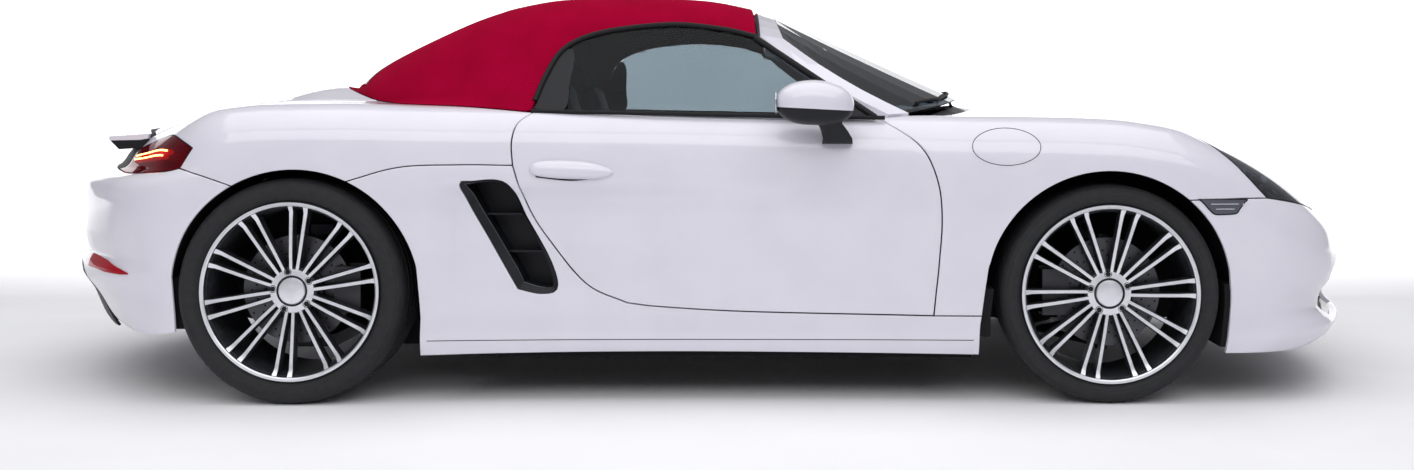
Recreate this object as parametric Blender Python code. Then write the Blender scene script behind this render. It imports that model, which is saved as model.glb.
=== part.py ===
"""A two-seat open car with a raised fabric top, as an assembly of separate solids.

Frame: +X forward, +Y to the car's left, +Z up, origin on the ground under the middle of its length.
Every outer panel is a piece of one body surface, so neighbours meet flush at their shut lines.
"""
from math import cos, pi, radians, sin

import bmesh
import bpy
import numpy as np
from mathutils import Matrix, Vector

# Overall sizes, in metres
LENGTH = 4.379
WHEELBASE = 2.475
REAR_OVERHANG = 0.979
HALF_WIDTH = 0.9005
ROOF_HEIGHT = 1.281
NOSE_X = LENGTH / 2
TAIL_X = -LENGTH / 2
REAR_AXLE_X = TAIL_X + REAR_OVERHANG
FRONT_AXLE_X = REAR_AXLE_X + WHEELBASE
SILL_BOTTOM = 0.145
SCUTTLE_TOP = 0.800
FLOOR_BOTTOM = 0.130
FLOOR_THICK = 0.030

# Wheels
FRONT_TYRE_R = 0.331
REAR_TYRE_R = 0.341
FRONT_TYRE_WIDTH = 0.232
REAR_TYRE_WIDTH = 0.262
FRONT_HALF_TRACK = 0.7575
REAR_HALF_TRACK = 0.760
RIM_R = 0.271
RIM_BED_R = 0.254
RIM_WALL = 0.010
SPOKE_PAIRS = 5
DISC_R = 0.165
DISC_THICK = 0.030
HUB_R = 0.072
BORE_R = 0.034
DISC_STEPS = 16
WHEEL_STEPS = 22
FRONT_ARCH_R = 0.370
REAR_ARCH_R = 0.372
FRONT_ARCH = (FRONT_AXLE_X - 0.006, 0.333)
REAR_ARCH = (REAR_AXLE_X + 0.015, 0.336)
ARCH_ROOM = 0.030

FLOOR_TOP = FLOOR_BOTTOM + FLOOR_THICK
CABIN_REAR_X = -.60
SILL_IN_Y, SILL_OUT_Y = .690, .800
BULKHEAD_X = (.800, .850)
NOSE_TUB_X = 1.90
TAIL_TUB_X = -1.90
NOSE_TUB_Y, TAIL_TUB_Y = .440, .560
WALL = .020
POST_OUT_Y = .745

# Side intake: seam round it, wall, blades
INTAKE_GAP = .0006
INTAKE_WALL = .006
INTAKE_BLADES_Z = (.457, .571)
BLADE_THICK = .009
# Front intakes in the bumper, as (y, z) outlines, and the grille behind them
SIDE_MOUTH = [(.400, .245), (.560, .235), (.715, .238), (.760, .290), (.752, .360), (.690, .392), (.520, .388), (.420, .372)]
MIDDLE_MOUTH = [(-.300, .235), (.300, .235), (.330, .300), (.300, .345), (-.300, .345), (-.330, .300)]
GRILLE_SET = .040
GRILLE_WALL = .006
GRILLE_REACH = .740
GRILLE_LEVELS = (.235, .290, .345, .400)
GRILLE_BAR_THICK = .008
GRILLE_BARS_Z = (.255, .287, .319, .351)
# Wheel-house liners: radius over the arch, wall, inner and outer edge, for front and rear
LINER_ROOM = .015
LINER_WALL = .004
FRONT_LINER_Y = (.4603, .825)
REAR_LINER_Y = (.5803, .840)
# Exhaust: silencer, twin tips and the hole that they come through
TIP_R = .045
TIP_Y = .055
TIP_Z = .262
SPOILER_HALF = .56
AXLE_Z_FRONT, AXLE_Z_REAR = FRONT_TYRE_R, REAR_TYRE_R

# Fits between pieces
SEAT_GAP = 0.0003
MOVING_GAP = 0.006
PANEL_THICK = 0.020
LID_THICK = 0.012
HOOD_GAP = 0.0108
LID_GAP = 0.018
DOOR_GAP = 0.0155
DOOR_PIVOT = np.array((0.650, 0.842, 0.55))
HOOD_PIVOT = (0.787, 0, 0.836)
LID_PIVOT = (-1.56, 0, 0.842)
DOOR_THICK = 0.090
GLASS_THICK = 0.005
TOP_THICK = 0.022
STEER_DEG = 33.0

WHITE = ("car_paint_white", (0.86, 0.86, 0.90), 0.25, 0.0)
BLACK = ("black_plastic", (0.03, 0.03, 0.035), 0.5, 0.0)
STEEL = ("bare_steel", (0.35, 0.35, 0.36), 0.45, 1.0)
ALLOY = ("machined_alloy", (0.75, 0.75, 0.78), 0.3, 1.0)
RUBBER = ("tyre_rubber", (0.03, 0.03, 0.033), 0.8, 0.0)
FABRIC = ("red_canvas", (0.45, 0.0, 0.04), 0.9, 0.0)
GLASS = ("tinted_glass", (0.12, 0.16, 0.18), 0.05, 0.0)
LENS_CLEAR = ("clear_lens", (0.3, 0.3, 0.33), 0.05, 0.0)
LENS_RED = ("red_lens", (0.5, 0.02, 0.03), 0.1, 0.0)
LEATHER = ("black_leather", (0.05, 0.05, 0.055), 0.6, 0.0)


def clear_scene():
    for old in list(bpy.data.objects):
        bpy.data.objects.remove(old)


# Curves and tables


def table(*pairs):
    """A smooth function through (place, value) pairs: a cubic Hermite curve that never overshoots."""
    xs, ys = np.array(pairs, float).T
    h = np.diff(xs)
    slope = np.diff(ys) / h
    m = np.zeros(len(xs))
    same = slope[:-1] * slope[1:] > 0
    w1, w2 = 2 * h[1:] + h[:-1], h[1:] + 2 * h[:-1]
    inner = np.where(same, slope[:-1] * slope[1:], 0) * (w1 + w2)
    m[1:-1] = inner / np.where(same, w1 * slope[1:] + w2 * slope[:-1], 1)
    m[0], m[-1] = slope[0], slope[-1]

    def value(x):
        x = np.clip(x, xs[0], xs[-1])
        i = np.clip(np.searchsorted(xs, x) - 1, 0, len(h) - 1)
        t = (x - xs[i]) / h[i]
        a, b = ys[i], ys[i + 1]
        return (a * (1 + 2 * t) * (1 - t) ** 2 + b * t * t * (3 - 2 * t)
                + h[i] * (m[i] * t * (1 - t) ** 2 - m[i + 1] * t * t * (1 - t)))

    return value


def ease(t):
    t = np.clip(t, 0, 1)
    return t * t * (3 - 2 * t)


def through(points, spots):
    """Points along a smooth curve through the given ones: this many, evenly, or at these shares of its length."""
    p = np.array(points, float)
    share = np.linspace(0, 1, spots) if isinstance(spots, int) else np.array(spots)
    if len(p) == 2:
        return p[0] + (p[1] - p[0]) * share[:, None]
    ends = np.vstack([2 * p[0] - p[1], p, 2 * p[-1] - p[-2]])
    t = np.linspace(0, 1, 24, endpoint=False)[:, None]
    runs = []
    for a, b, c, d in zip(ends, ends[1:], ends[2:], ends[3:]):
        runs.append(0.5 * (2 * b + (c - a) * t + (2 * a - 5 * b + 4 * c - d) * t ** 2
                           + (3 * b - a - 3 * c + d) * t ** 3))
    fine = np.vstack([*runs, p[-1:]])
    along = np.concatenate([[0], np.cumsum(np.linalg.norm(np.diff(fine, axis=0), axis=1))])
    wanted = share * along[-1]
    return np.column_stack([np.interp(wanted, along, fine[:, k]) for k in range(fine.shape[1])])


def arc(centre, radius, start, end, n):
    """n points of a circle in side view, from one angle to another, in degrees from forward."""
    a = np.radians(np.linspace(start, end, n))
    return np.column_stack([centre[0] + radius * np.cos(a), centre[1] + radius * np.sin(a)])


# The body surface. Each wall is a height field and G = 1 is their rounded meeting.
# plan half width at hip height, by x
HIP = table((-2.3, .84), (-1.8, .882), (-1.5, .897), (-1.21, .9005), (-.9, .893), (-.6, .874), (-.3, .862),
            (0, .858), (.4, .862), (.8, .872), (1.26, .886), (1.6, .876), (1.9, .855), (2.3, .82))
# how far the side leans in, by height
LEAN = table((.10, .050), (.15, .024), (.20, .016), (.28, .022), (.42, .012), (.58, 0), (.70, .004),
             (.78, .012), (.87, .022), (.95, .05), (1.05, .10))
# height of the middle of hood and deck, by x
MIDDLE = table((-2.3, .72), (-1.95, .805), (-1.7, .862), (-1.386, .938), (-1.2, .966), (-.9, .95), (-.5, .90),
               (0, .885), (.5, .885), (.85, .90), (1.005, .886), (1.3, .832), (1.6, .757), (1.9, .655),
               (2.05, .595), (2.3, .48))
# height of the fender crests, by x
CREST = table((-2.3, .70), (-1.8, .80), (-1.645, .838), (-1.473, .892), (-1.3, .908), (-1.1, .910), (-.8, .902),
              (-.5, .895), (0, .887), (.5, .876), (.8, .870), (1.06, .868), (1.27, .862), (1.424, .843),
              (1.587, .802), (1.78, .727), (1.94, .63), (2.3, .40))
CREST_Y = 0.70
VALLEY_Y = 0.36
NOSE_BOW = 0.39
TAIL_BOW = 0.62
# how far the front face is set back, by height
NOSE_SET = table((.10, .22), (.145, .10), (.173, .045), (.205, .008), (.224, 0), (.245, .02), (.275, .05),
                 (.31, .045), (.36, .012), (.43, 0), (.50, .012), (.56, .045), (.62, .10), (.70, .19), (.8, .33))
# how far the rear face is set in, by height
TAIL_SET = table((.12, .20), (.20, .09), (.30, .04), (.366, 0), (.395, 0), (.431, .018), (.50, .004), (.586, 0),
                 (.645, .004), (.668, .02), (.688, .07), (.705, .13), (.75, .155), (.80, .18), (.86, .22), (.95, .32))
ROUND_SIDE, ROUND_TOP, ROUND_NOSE, ROUND_TAIL = .11, .11, .16, .12
POWER = 2.2
SPINE_X = 1.35
SPINE_Z = 0.45


def side_y(x, z):
    """Half width of the body side at (x, z), with the hollow that leads air along the door to the intake."""
    hollow = .030 * ease((.45 - x) / .95) * ease((x + .80) / .10)
    band = ease((.668 - z) / .05) * ease((z - .30) / .22)
    return HIP(x) - LEAN(z) - hollow * band


def top_z(x, a):
    middle, crest = MIDDLE(x), CREST(x)
    return middle + (crest - middle) * ease((a - VALLEY_Y) / (CREST_Y - VALLEY_Y)) - .6 * np.maximum(a - CREST_Y, 0) ** 2


def body_field(p):
    """Below 1 inside the body, 1 on its surface."""
    x, a, z = p[..., 0], np.abs(p[..., 1]), p[..., 2]
    walls = (
        (side_y(x, z) - a, ROUND_SIDE),
        (top_z(x, a) - z, ROUND_TOP),
        (NOSE_X - NOSE_BOW * a ** 2 - NOSE_SET(z) - x, ROUND_NOSE),
        (x - TAIL_X - TAIL_BOW * a ** 1.9 - TAIL_SET(z), ROUND_TAIL),
    )
    return sum(np.maximum(0, 1 - f / r) ** POWER for f, r in walls)


# The fabric top and its side windows share a second surface, above the belt
BELT_Y = table((-1.30, .10), (-1.22, .30), (-1.15, .45), (-1.08, .56), (-.95, .668), (-.75, .745), (-.47, .79),
               (0, .800), (.5, .800), (.9, .79))
ROOF = table((-1.40, .88), (-1.225, .968), (-1.1, 1.032), (-.9, 1.130), (-.71, 1.213), (-.6, 1.247), (-.45, 1.272),
             (-.25, ROOF_HEIGHT), (0, 1.269), (.17, 1.238), (.4, 1.17), (.7, 1.03))
TUMBLE = 0.60
BELT_Z = 0.870


def cabin_field(p):
    x, a, z = p[..., 0], np.abs(p[..., 1]), p[..., 2]
    lean = TUMBLE * (z - BELT_Z) + .12 * np.maximum(z - BELT_Z, 0) ** 2
    walls = ((BELT_Y(x) - lean - a, .10), (ROOF(x) - .10 * a ** 2 - z, .09))
    return sum(np.maximum(0, 1 - f / r) ** POWER for f, r in walls)


def meet(origin, way, field, reach=2.6):
    """The point on each ray where the field reaches 1, by halving."""
    origin, way = np.broadcast_arrays(np.array(origin, float), np.array(way, float))
    low, high = np.zeros(origin.shape[:-1]), np.full(origin.shape[:-1], reach)
    for _ in range(40):
        mid = (low + high) / 2
        inside = field(origin + way * mid[..., None]) < 1
        low, high = np.where(inside, mid, low), np.where(inside, high, mid)
    return origin + way * low[..., None]


def on_side(xz, field=body_field, from_y=0.0):
    xz = np.array(xz, float)
    origin = np.stack([xz[..., 0], np.full(xz.shape[:-1], from_y), xz[..., 1]], -1)
    return meet(origin, (0, 1, 0), field)


def on_top(xy, field=body_field, from_z=SPINE_Z):
    xy = np.array(xy, float)
    origin = np.stack([xy[..., 0], xy[..., 1], np.full(xy.shape[:-1], from_z)], -1)
    return meet(origin, (0, 0, 1), field)


def on_end(yz, way):
    """Front (way 1) or rear (way -1) of the body at (y, z)."""
    yz = np.array(yz, float)
    origin = np.stack([np.full(yz.shape[:-1], 1.0 * way), yz[..., 0], yz[..., 1]], -1)
    return meet(origin, (way, 0, 0), body_field)


def from_spine(p, field=body_field, half=SPINE_X, height=SPINE_Z):
    """Points moved on to the surface along rays from a line along the middle of the car."""
    core = np.stack([np.clip(p[..., 0], -half, half), np.zeros(p.shape[:-1]), np.full(p.shape[:-1], height)], -1)
    way = p - core
    return meet(core, way / np.linalg.norm(way, axis=-1, keepdims=True), field)


def inward(p, field=body_field):
    """Unit vectors pointing into the body at surface points."""
    step = 1e-4
    slope = np.stack([field(p + step * e) - field(p - step * e) for e in np.eye(3)], -1)
    return -slope / np.linalg.norm(slope, axis=-1, keepdims=True)


def coons(bottom, top, left, right):
    """A grid that fills four edge curves: bottom and top run the same way, left and right from bottom to top."""
    u = np.linspace(0, 1, len(bottom))[:, None, None]
    v = np.linspace(0, 1, len(left))[None, :, None]
    ruled = (1 - v) * bottom[:, None] + v * top[:, None] + (1 - u) * left[None] + u * right[None]
    corners = ((1 - u) * (1 - v) * bottom[0] + u * (1 - v) * bottom[-1]
               + (1 - u) * v * top[0] + u * v * top[-1])
    return ruled - corners


# Meshes


def quads_of(n, m, start=0):
    i, j = np.meshgrid(np.arange(n - 1), np.arange(m - 1), indexing="ij")
    a = (i * m + j + start).ravel()
    return np.column_stack([a, a + m, a + m + 1, a + 1])


def welded(grids):
    """Vertices and quads of several grids, with shared edges made one."""
    points, faces, start = [], [], 0
    for g in grids:
        points.append(g.reshape(-1, 3))
        faces.append(quads_of(g.shape[0], g.shape[1], start))
        start += g.shape[0] * g.shape[1]
    points, faces = np.vstack(points), np.vstack(faces)
    _, first, index = np.unique(np.round(points, 6), axis=0, return_index=True, return_inverse=True)
    return points[first], index.reshape(-1)[faces]


def open_edges(faces):
    """The edges that belong to one face only, and the face of each."""
    ends = np.vstack([faces[:, [k, (k + 1) % 4]] for k in range(4)])
    owner = np.tile(np.arange(len(faces)), 4)
    _, index, count = np.unique(np.sort(ends, axis=1), axis=0, return_inverse=True, return_counts=True)
    alone = (count[index.reshape(-1)] == 1) & (ends[:, 0] != ends[:, 1])
    return ends[alone], owner[alone]


def drawn_in(points, faces, gap):
    """The sheet with its outline moved in by this much, square to the outline."""
    rim, owner = open_edges(faces)
    a, b = points[rim[:, 0]], points[rim[:, 1]]
    along = (b - a) / np.linalg.norm(b - a, axis=1, keepdims=True)
    to_middle = points[faces[owner]].mean(axis=1) - (a + b) / 2
    square = to_middle - (to_middle * along).sum(axis=1, keepdims=True) * along
    square /= np.linalg.norm(square, axis=1, keepdims=True)
    total = np.zeros_like(points)
    for k in range(2):
        np.add.at(total, rim[:, k], square)
    length = (total ** 2).sum(axis=1)
    factor = np.where(length > 0, 2 / np.maximum(length, .5), 0)
    return points + total * factor[:, None] * gap


def thickened(points, faces, depth):
    """A closed solid: the sheet, the sheet moved by depth, and a wall round its open edges."""
    n = len(points)
    rim, _ = open_edges(faces)
    # Two panels that share an edge split the wall along the same diagonal, so a twisted wall still clears
    order = np.abs(points) @ (1, .37, .73)
    wall = []
    for a, b in rim:
        wall += [(b, a, a + n), (b, a + n, b + n)] if order[a] > order[b] else [(b, a, b + n), (a, a + n, b + n)]
    return np.vstack([points, points + depth]), [*map(list, faces), *map(list, faces[:, ::-1] + n), *wall]


def mirrored(points):
    return points * np.array([1, -1, 1])


MATERIALS = {}


def material(spec):
    name, colour, roughness, metallic = spec
    if name not in MATERIALS:
        made = bpy.data.materials.new(name)
        made.use_nodes = True
        shader = made.node_tree.nodes["Principled BSDF"]
        shader.inputs["Base Color"].default_value = (*colour, 1)
        shader.inputs["Roughness"].default_value = roughness
        shader.inputs["Metallic"].default_value = metallic
        made.diffuse_color = (*colour, 1)
        MATERIALS[name] = made
    return MATERIALS[name]


def solid(name, points, faces, spec, pivot=(0, 0, 0)):
    """One named object from a closed mesh, with its origin at the pivot."""
    mesh = bpy.data.meshes.new(name)
    mesh.from_pydata([tuple(p) for p in np.array(points) - np.array(pivot)], [], [list(map(int, f)) for f in faces])
    bm = bmesh.new()
    bm.from_mesh(mesh)
    bmesh.ops.remove_doubles(bm, verts=bm.verts, dist=1e-6)
    bmesh.ops.dissolve_degenerate(bm, edges=bm.edges, dist=1e-6)
    bmesh.ops.recalc_face_normals(bm, faces=bm.faces)
    if bm.calc_volume(signed=True) < 0:
        bmesh.ops.reverse_faces(bm, faces=bm.faces)
    bm.to_mesh(mesh)
    bm.free()
    mesh.materials.append(material(spec))
    mesh.shade_smooth()
    mesh.set_sharp_from_angle(angle=radians(32))
    made = bpy.data.objects.new(name, mesh)
    made.location = pivot
    bpy.context.scene.collection.objects.link(made)
    return made


def helper(name, points, faces):
    """A hidden cutter or a shape to join."""
    made = solid(name, points, faces, BLACK)
    made.hide_render = True
    made.display_type = "WIRE"
    return made


def combine(target, other, operation):
    mod = target.modifiers.new(operation.lower(), "BOOLEAN")
    mod.operation = operation
    mod.object = other
    return target


def bake(target):
    """Applies the modifiers, so that later steps see plain geometry."""
    bpy.context.view_layer.update()
    graph = bpy.context.evaluated_depsgraph_get()
    mesh = bpy.data.meshes.new_from_object(target.evaluated_get(graph))
    target.modifiers.clear()
    target.data = mesh
    return target


def cut(target, *others):
    for other in others:
        combine(target, other, "DIFFERENCE")
    bake(target)
    for other in others:
        bpy.data.objects.remove(other)
    return target


def join(target, *others):
    for other in others:
        combine(target, other, "UNION")
        bake(target)
    for other in others:
        bpy.data.objects.remove(other)
    return target


def box(low, high):
    (x0, y0, z0), (x1, y1, z1) = low, high
    points = [(x, y, z) for x in (x0, x1) for y in (y0, y1) for z in (z0, z1)]
    faces = [(0, 1, 3, 2), (4, 6, 7, 5), (0, 4, 5, 1), (2, 3, 7, 6), (0, 2, 6, 4), (1, 5, 7, 3)]
    return np.array(points), faces


def prism(outline, low, high, axis):
    """An outline of (u, v) points pushed along one axis: 'y' takes (x, z), 'x' takes (y, z), 'z' takes (x, y)."""
    o = np.array(outline, float)
    n = len(o)

    def layer(w):
        column = np.full(n, w)
        order = {"y": (o[:, 0], column, o[:, 1]), "x": (column, o[:, 0], o[:, 1]), "z": (o[:, 0], o[:, 1], column)}
        return np.column_stack(order[axis])

    points = np.vstack([layer(low), layer(high)])
    ring = [(i, (i + 1) % n, (i + 1) % n + n, i + n) for i in range(n)]
    return points, [tuple(range(n))[::-1], tuple(range(n, 2 * n)), *ring]


def lathe(profile, steps, centre, axis="y"):
    """A closed profile of (radius, along) points turned about an axis through the centre."""
    prof = np.array(profile, float)
    n = len(prof)
    angle = np.arange(steps) * 2 * pi / steps
    r, w = prof[:, 0][None], np.broadcast_to(prof[:, 1][None], (steps, n))
    u, v = r * np.cos(angle)[:, None], r * np.sin(angle)[:, None]
    order = {"y": (u, w, v), "x": (w, u, v), "z": (u, v, w)}
    points = np.stack(order[axis], -1).reshape(-1, 3) + np.array(centre)
    faces = []
    for i in range(steps):
        k = (i + 1) % steps
        for j in range(n):
            m = (j + 1) % n
            faces.append((i * n + j, i * n + m, k * n + m, k * n + j))
    return points, faces


def disc(radius, low, high, centre, steps=24, axis="y"):
    """A plain round bar between two places along its axis."""
    angle = np.arange(steps) * 2 * pi / steps
    ring = np.column_stack([radius * np.cos(angle), radius * np.sin(angle)])
    points, faces = prism(ring, low, high, axis)
    return points + np.array(centre), faces


def tube(path, radius, steps=6):
    """A round bar along a path of points."""
    path = np.array(path, float)
    ahead = np.gradient(path, axis=0)
    ahead /= np.linalg.norm(ahead, axis=1, keepdims=True)
    up = np.where(np.abs(ahead[:, 2:]) > .9, [[1.0, 0, 0]], [[0, 0, 1.0]])
    side = np.cross(up, ahead)
    side /= np.linalg.norm(side, axis=1, keepdims=True)
    over = np.cross(ahead, side)
    angle = np.arange(steps) * 2 * pi / steps
    rings = (path[:, None] + radius * (np.cos(angle)[None, :, None] * side[:, None]
                                       + np.sin(angle)[None, :, None] * over[:, None]))
    n = len(path)
    faces = []
    for i in range(n - 1):
        for j in range(steps):
            k = (j + 1) % steps
            faces.append((i * steps + j, i * steps + k, (i + 1) * steps + k, (i + 1) * steps + j))
    faces += [tuple(range(steps))[::-1], tuple(range((n - 1) * steps, n * steps))]
    return rings.reshape(-1, 3), faces


def loft(rings, closed_ends=True):
    """Rings of the same count of points joined in order, with the two ends filled."""
    rings = np.array(rings, float)
    n, m = rings.shape[:2]
    faces = []
    for i in range(n - 1):
        for j in range(m):
            k = (j + 1) % m
            faces.append((i * m + j, i * m + k, (i + 1) * m + k, (i + 1) * m + j))
    faces += [tuple(range(m))[::-1], tuple(range((n - 1) * m, n * m))]
    return rings.reshape(-1, 3), faces


def both_sides(build, name, *args):
    """Makes the left piece and its mirror image on the right."""
    for side, flip in (("left", 1), ("right", -1)):
        build(f"{name}_{side}", flip, *args)


# Shut lines on the left side. Neighbouring panels use the same points.


def on_line(points, spots):
    """A curve on the body surface through rough (x, y, z) points."""
    return from_spine(through(points, spots))


def side_line(points, spots):
    """A curve on the body side through (x, z) points as seen from the side."""
    return on_side(through(points, spots))


def top_line(points, spots):
    """A curve on the hood or deck through (x, y) points as seen from above."""
    return on_top(through(points, spots))


def spread(a, b, spots):
    """A short curve on the surface between two points already on it."""
    return on_line((a, b), spots)


BUMPER_ROWS = np.array([0, .05, .10, .14, .19, .25, .31, .38, .48, .58, .69, .80, .90, 1])
FRONT_SEAM_DEG, FRONT_SPLIT_DEG = 50, 168
REAR_SEAM_DEG, BACK_SEAM_DEG = 65, 119.5
SILL_TOP = .264

door_front_low = side_line([(.731, SILL_TOP), (.745, .404)], 4)
door_front_high = side_line([(.745, .404), (.754, .555), (.741, .675), (.689, .78), (.57, .862)], 9)
door_rear_low = side_line([(-.20, .302), (-.323, .36), (-.443, .501), (-.505, .606), (-.543, .721)], 7)
door_rear_high = side_line([(-.543, .721), (-.548, .79), (-.535, .846), (-.496, .880)], 6)
door_bottom = side_line([(-.20, .302), (-.10, .29), (.172, .275), (.731, SILL_TOP)], 9)
door_top = side_line([(-.496, .880), (.019, .871), (.57, .862)], 9)

front_arch_low = side_line([(.877, SILL_TOP), (.887, .34), arc(FRONT_ARCH, FRONT_ARCH_R, 168, 168, 1)[0]], 4)
front_arch_high = on_side(arc(FRONT_ARCH, FRONT_ARCH_R, FRONT_SPLIT_DEG, FRONT_SEAM_DEG, 9))
front_arch_nose = np.vstack([
    side_line([(1.612, .150), (1.628, .30), arc(FRONT_ARCH, FRONT_ARCH_R, 10, 10, 1)[0]], 7),
    on_side(arc(FRONT_ARCH, FRONT_ARCH_R, 10, FRONT_SEAM_DEG, 4))[1:]])
fender_bottom = spread(door_front_low[0], front_arch_low[0], 4)
fender_split = spread(door_front_high[0], front_arch_high[0], 4)
nose_seam = on_line([front_arch_high[-1], (1.60, .87, .618), (1.735, .84, .620)], 4)
lamp_low = on_line([(1.735, .84, .620), (1.82, .775, .600), (1.94, .66, .570)], 4)
lamp_back = on_line([(1.584, .70, .80), (1.665, .77, .725)], 4)
lamp_side = on_line([lamp_back[-1], (1.71, .815, .665), (1.735, .84, .620)], 9)
lamp_inner = on_line([(1.584, .70, .80), (1.69, .640, .768)], 4)
lamp_top_front = on_line([lamp_inner[-1], (1.80, .585, .72), (1.945, .53, .61)], 9)
lamp_front = spread(lamp_top_front[-1], lamp_low[-1], 4)
hood_side = top_line([(.765, .695), (1.0, .68), (1.3, .655), (1.584, .61)], 12)
hood_tip_side = top_line([(1.584, .61), (1.76, .55), (1.90, .475)], 12)
crown_side = spread(front_arch_high[-1], lamp_back[0], 9)
crown_top = spread(lamp_back[0], hood_side[-1], 4)
cowl_side = on_line([door_front_high[-1], (.66, .745, .865), hood_side[0]], 4)
hood_front = top_line([(1.90, .475), (1.955, .30), (1.975, 0)], 6)
hood_rear = top_line([(.765, .695), (.86, .55), (.955, .30), (1.005, 0)], 6)
nose_join = spread(lamp_top_front[-1], hood_tip_side[-1], 4)
rear_arch_foot = side_line([(-.822, SILL_BOTTOM), (-.821, .26)], 4)
rear_arch_rise = np.vstack([
    side_line([(-.821, .26), arc(REAR_ARCH, REAR_ARCH_R, 12, 12, 1)[0]], 2),
    on_side(arc(REAR_ARCH, REAR_ARCH_R, 12, REAR_SEAM_DEG, 6))[1:]])
front_arch_foot = side_line([(.868, SILL_BOTTOM), (.871, .225), (.877, SILL_TOP)], 4)
rocker_seam = spread(door_rear_low[0], rear_arch_foot[-1], 6)
rear_arch_top = on_side(arc(REAR_ARCH, REAR_ARCH_R, REAR_SEAM_DEG, BACK_SEAM_DEG, 7))
rear_arch_back = np.vstack([
    side_line([(-1.556, .217), arc(REAR_ARCH, REAR_ARCH_R, 172, 172, 1)[0]], 4),
    on_side(arc(REAR_ARCH, REAR_ARCH_R, 172, BACK_SEAM_DEG, 6))[1:]])
side_seam = side_line([(-.543, .721), (-.70, .723), (-.88, .716), arc(REAR_ARCH, REAR_ARCH_R, REAR_SEAM_DEG,
                                                                 REAR_SEAM_DEG, 1)[0]], 6)
top_rail = on_line([door_rear_high[-1], (-.75, .745, .90), (-.92, .69, .91), (-1.02, .62, .92)], 6)
quarter_join = spread(rear_arch_top[0], top_rail[-1], 6)
deck_side = on_line([top_rail[-1], (-1.20, .625, .93), (-1.40, .62, .91)], 7)
quarter_back = spread(rear_arch_top[-1], deck_side[-1], 6)
tail_seam = spread(rear_arch_top[-1], side_line([(-1.548, .712), (-1.548, .712)], 2)[0], 4)
lamp_nose = on_line([tail_seam[-1], (-1.51, .87, .775)], 3)
lid_corner = on_line([deck_side[-1], (-1.52, .62, .89)], 4)
tail_join = spread(lamp_nose[-1], lid_corner[-1], 4)
tail_edge = np.vstack([lamp_nose, tail_join[1:]])
lid_side = on_line([lid_corner[-1], (-1.68, .61, .86), (-1.80, .58, .83)], 5)
lamp_top = on_line([lamp_nose[-1], (-1.645, .80, .832), (-1.76, .72, .80), (-1.86, .60, .775)], 5)
lamp_bottom = on_line([lamp_nose[0], (-1.61, .84, .700), (-1.76, .76, .696), (-1.88, .60, .703)], 5)
lamp_end = spread(lamp_bottom[-1], lamp_top[-1], 3)
lid_edge = spread(lamp_top[-1], lid_side[-1], 4)
strip_bottom = on_line([lamp_bottom[-1], (-2.0, .30, .700), (-2.03, 0, .698)], 6)
strip_top = on_line([lid_side[-1], (-1.87, .30, .82), (-1.89, 0, .825)], 6)
deck_front = on_line([top_rail[-1], (-1.12, .50, .94), (-1.19, .38, .95), (-1.235, .20, .96), (-1.25, 0, .965)], 6)
deck_rear = on_line([deck_side[-1], (-1.40, .30, .93), (-1.40, 0, .935)], 6)
tail_low = on_line([rear_arch_back[0], (-1.66, .83, .200), (-1.86, .70, .212), (-1.95, .58, .30),
                    (-2.0, .46, .385), (-2.03, .25, .395), (-2.05, 0, .395)], 13)
tail_middle = on_line([tail_low[-1], strip_bottom[-1]], len(rear_arch_back))
floor_tail = on_line([(-1.87, .635, .185), (-1.93, .50, .185), (-1.97, .30, .18), (-1.98, 0, .18)], 8)


def panel(name, flip, grids, thick, spec, gap=SEAT_GAP, pivot=(0, 0, 0), field=body_field, straight=None,
          door_edge=None):
    """A body panel: patches of the surface, drawn in by half the gap and given a thickness inward.

    Along a door edge the thickness runs straight across the car, as the door's own does.
    """
    points, faces = welded(grids)
    depth = inward(points, field) * thick if straight is None else np.array([straight] * len(points)) * thick
    if door_edge is not None:
        away = np.linalg.norm(points[:, None] - door_edge[None], axis=-1).min(axis=1)
        depth[away < 1e-5] = (0, -thick, 0)
    points = drawn_in(points, faces, gap / 2)
    points, faces = thickened(points, faces, depth)
    return solid(name, mirrored(points) if flip < 0 else points, faces, spec, pivot)


def patch(bottom, top, left, right, field=body_field):
    return from_spine(coons(bottom, top, left, right), field)


def with_mirror(grids):
    """Left-hand patches and their mirror images, to weld into a panel that crosses the middle."""
    return [*grids, *(mirrored(g) for g in grids)]


def add(name, shape, spec, pivot=(0, 0, 0)):
    return solid(name, shape[0], shape[1], spec, pivot)


def flipped(shape, flip):
    points, faces = shape
    return (mirrored(np.array(points)) if flip < 0 else np.array(points)), faces


def extra(shape, flip=1):
    points, faces = flipped(shape, flip)
    return helper("extra", points, faces)


def chain(*curves):
    """Curves that follow one another, as one."""
    return np.vstack([curves[0], *(c[1:] for c in curves[1:])])


def front_fender(name, flip):
    behind = patch(fender_bottom, fender_split, door_front_low, front_arch_low)
    main = patch(chain(fender_split, front_arch_high), hood_side, chain(door_front_high, cowl_side),
                 chain(crown_side, crown_top))
    below_lamp = patch(nose_seam, lamp_back, crown_side, lamp_side[::-1])
    beside_lamp = patch(chain(lamp_inner, lamp_top_front), hood_tip_side, crown_top, nose_join)
    made = panel(name, flip, [behind, main, below_lamp, beside_lamp], PANEL_THICK, WHITE,
                 door_edge=chain(door_front_low, door_front_high))
    join(made, extra(box((.81, SILL_OUT_Y + SEAT_GAP, .70), (.84, .852, .74)), flip))


def middle_line(start, end, spots):
    """A curve on the surface along the middle of the car."""
    return on_line([start, end], spots)


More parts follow.
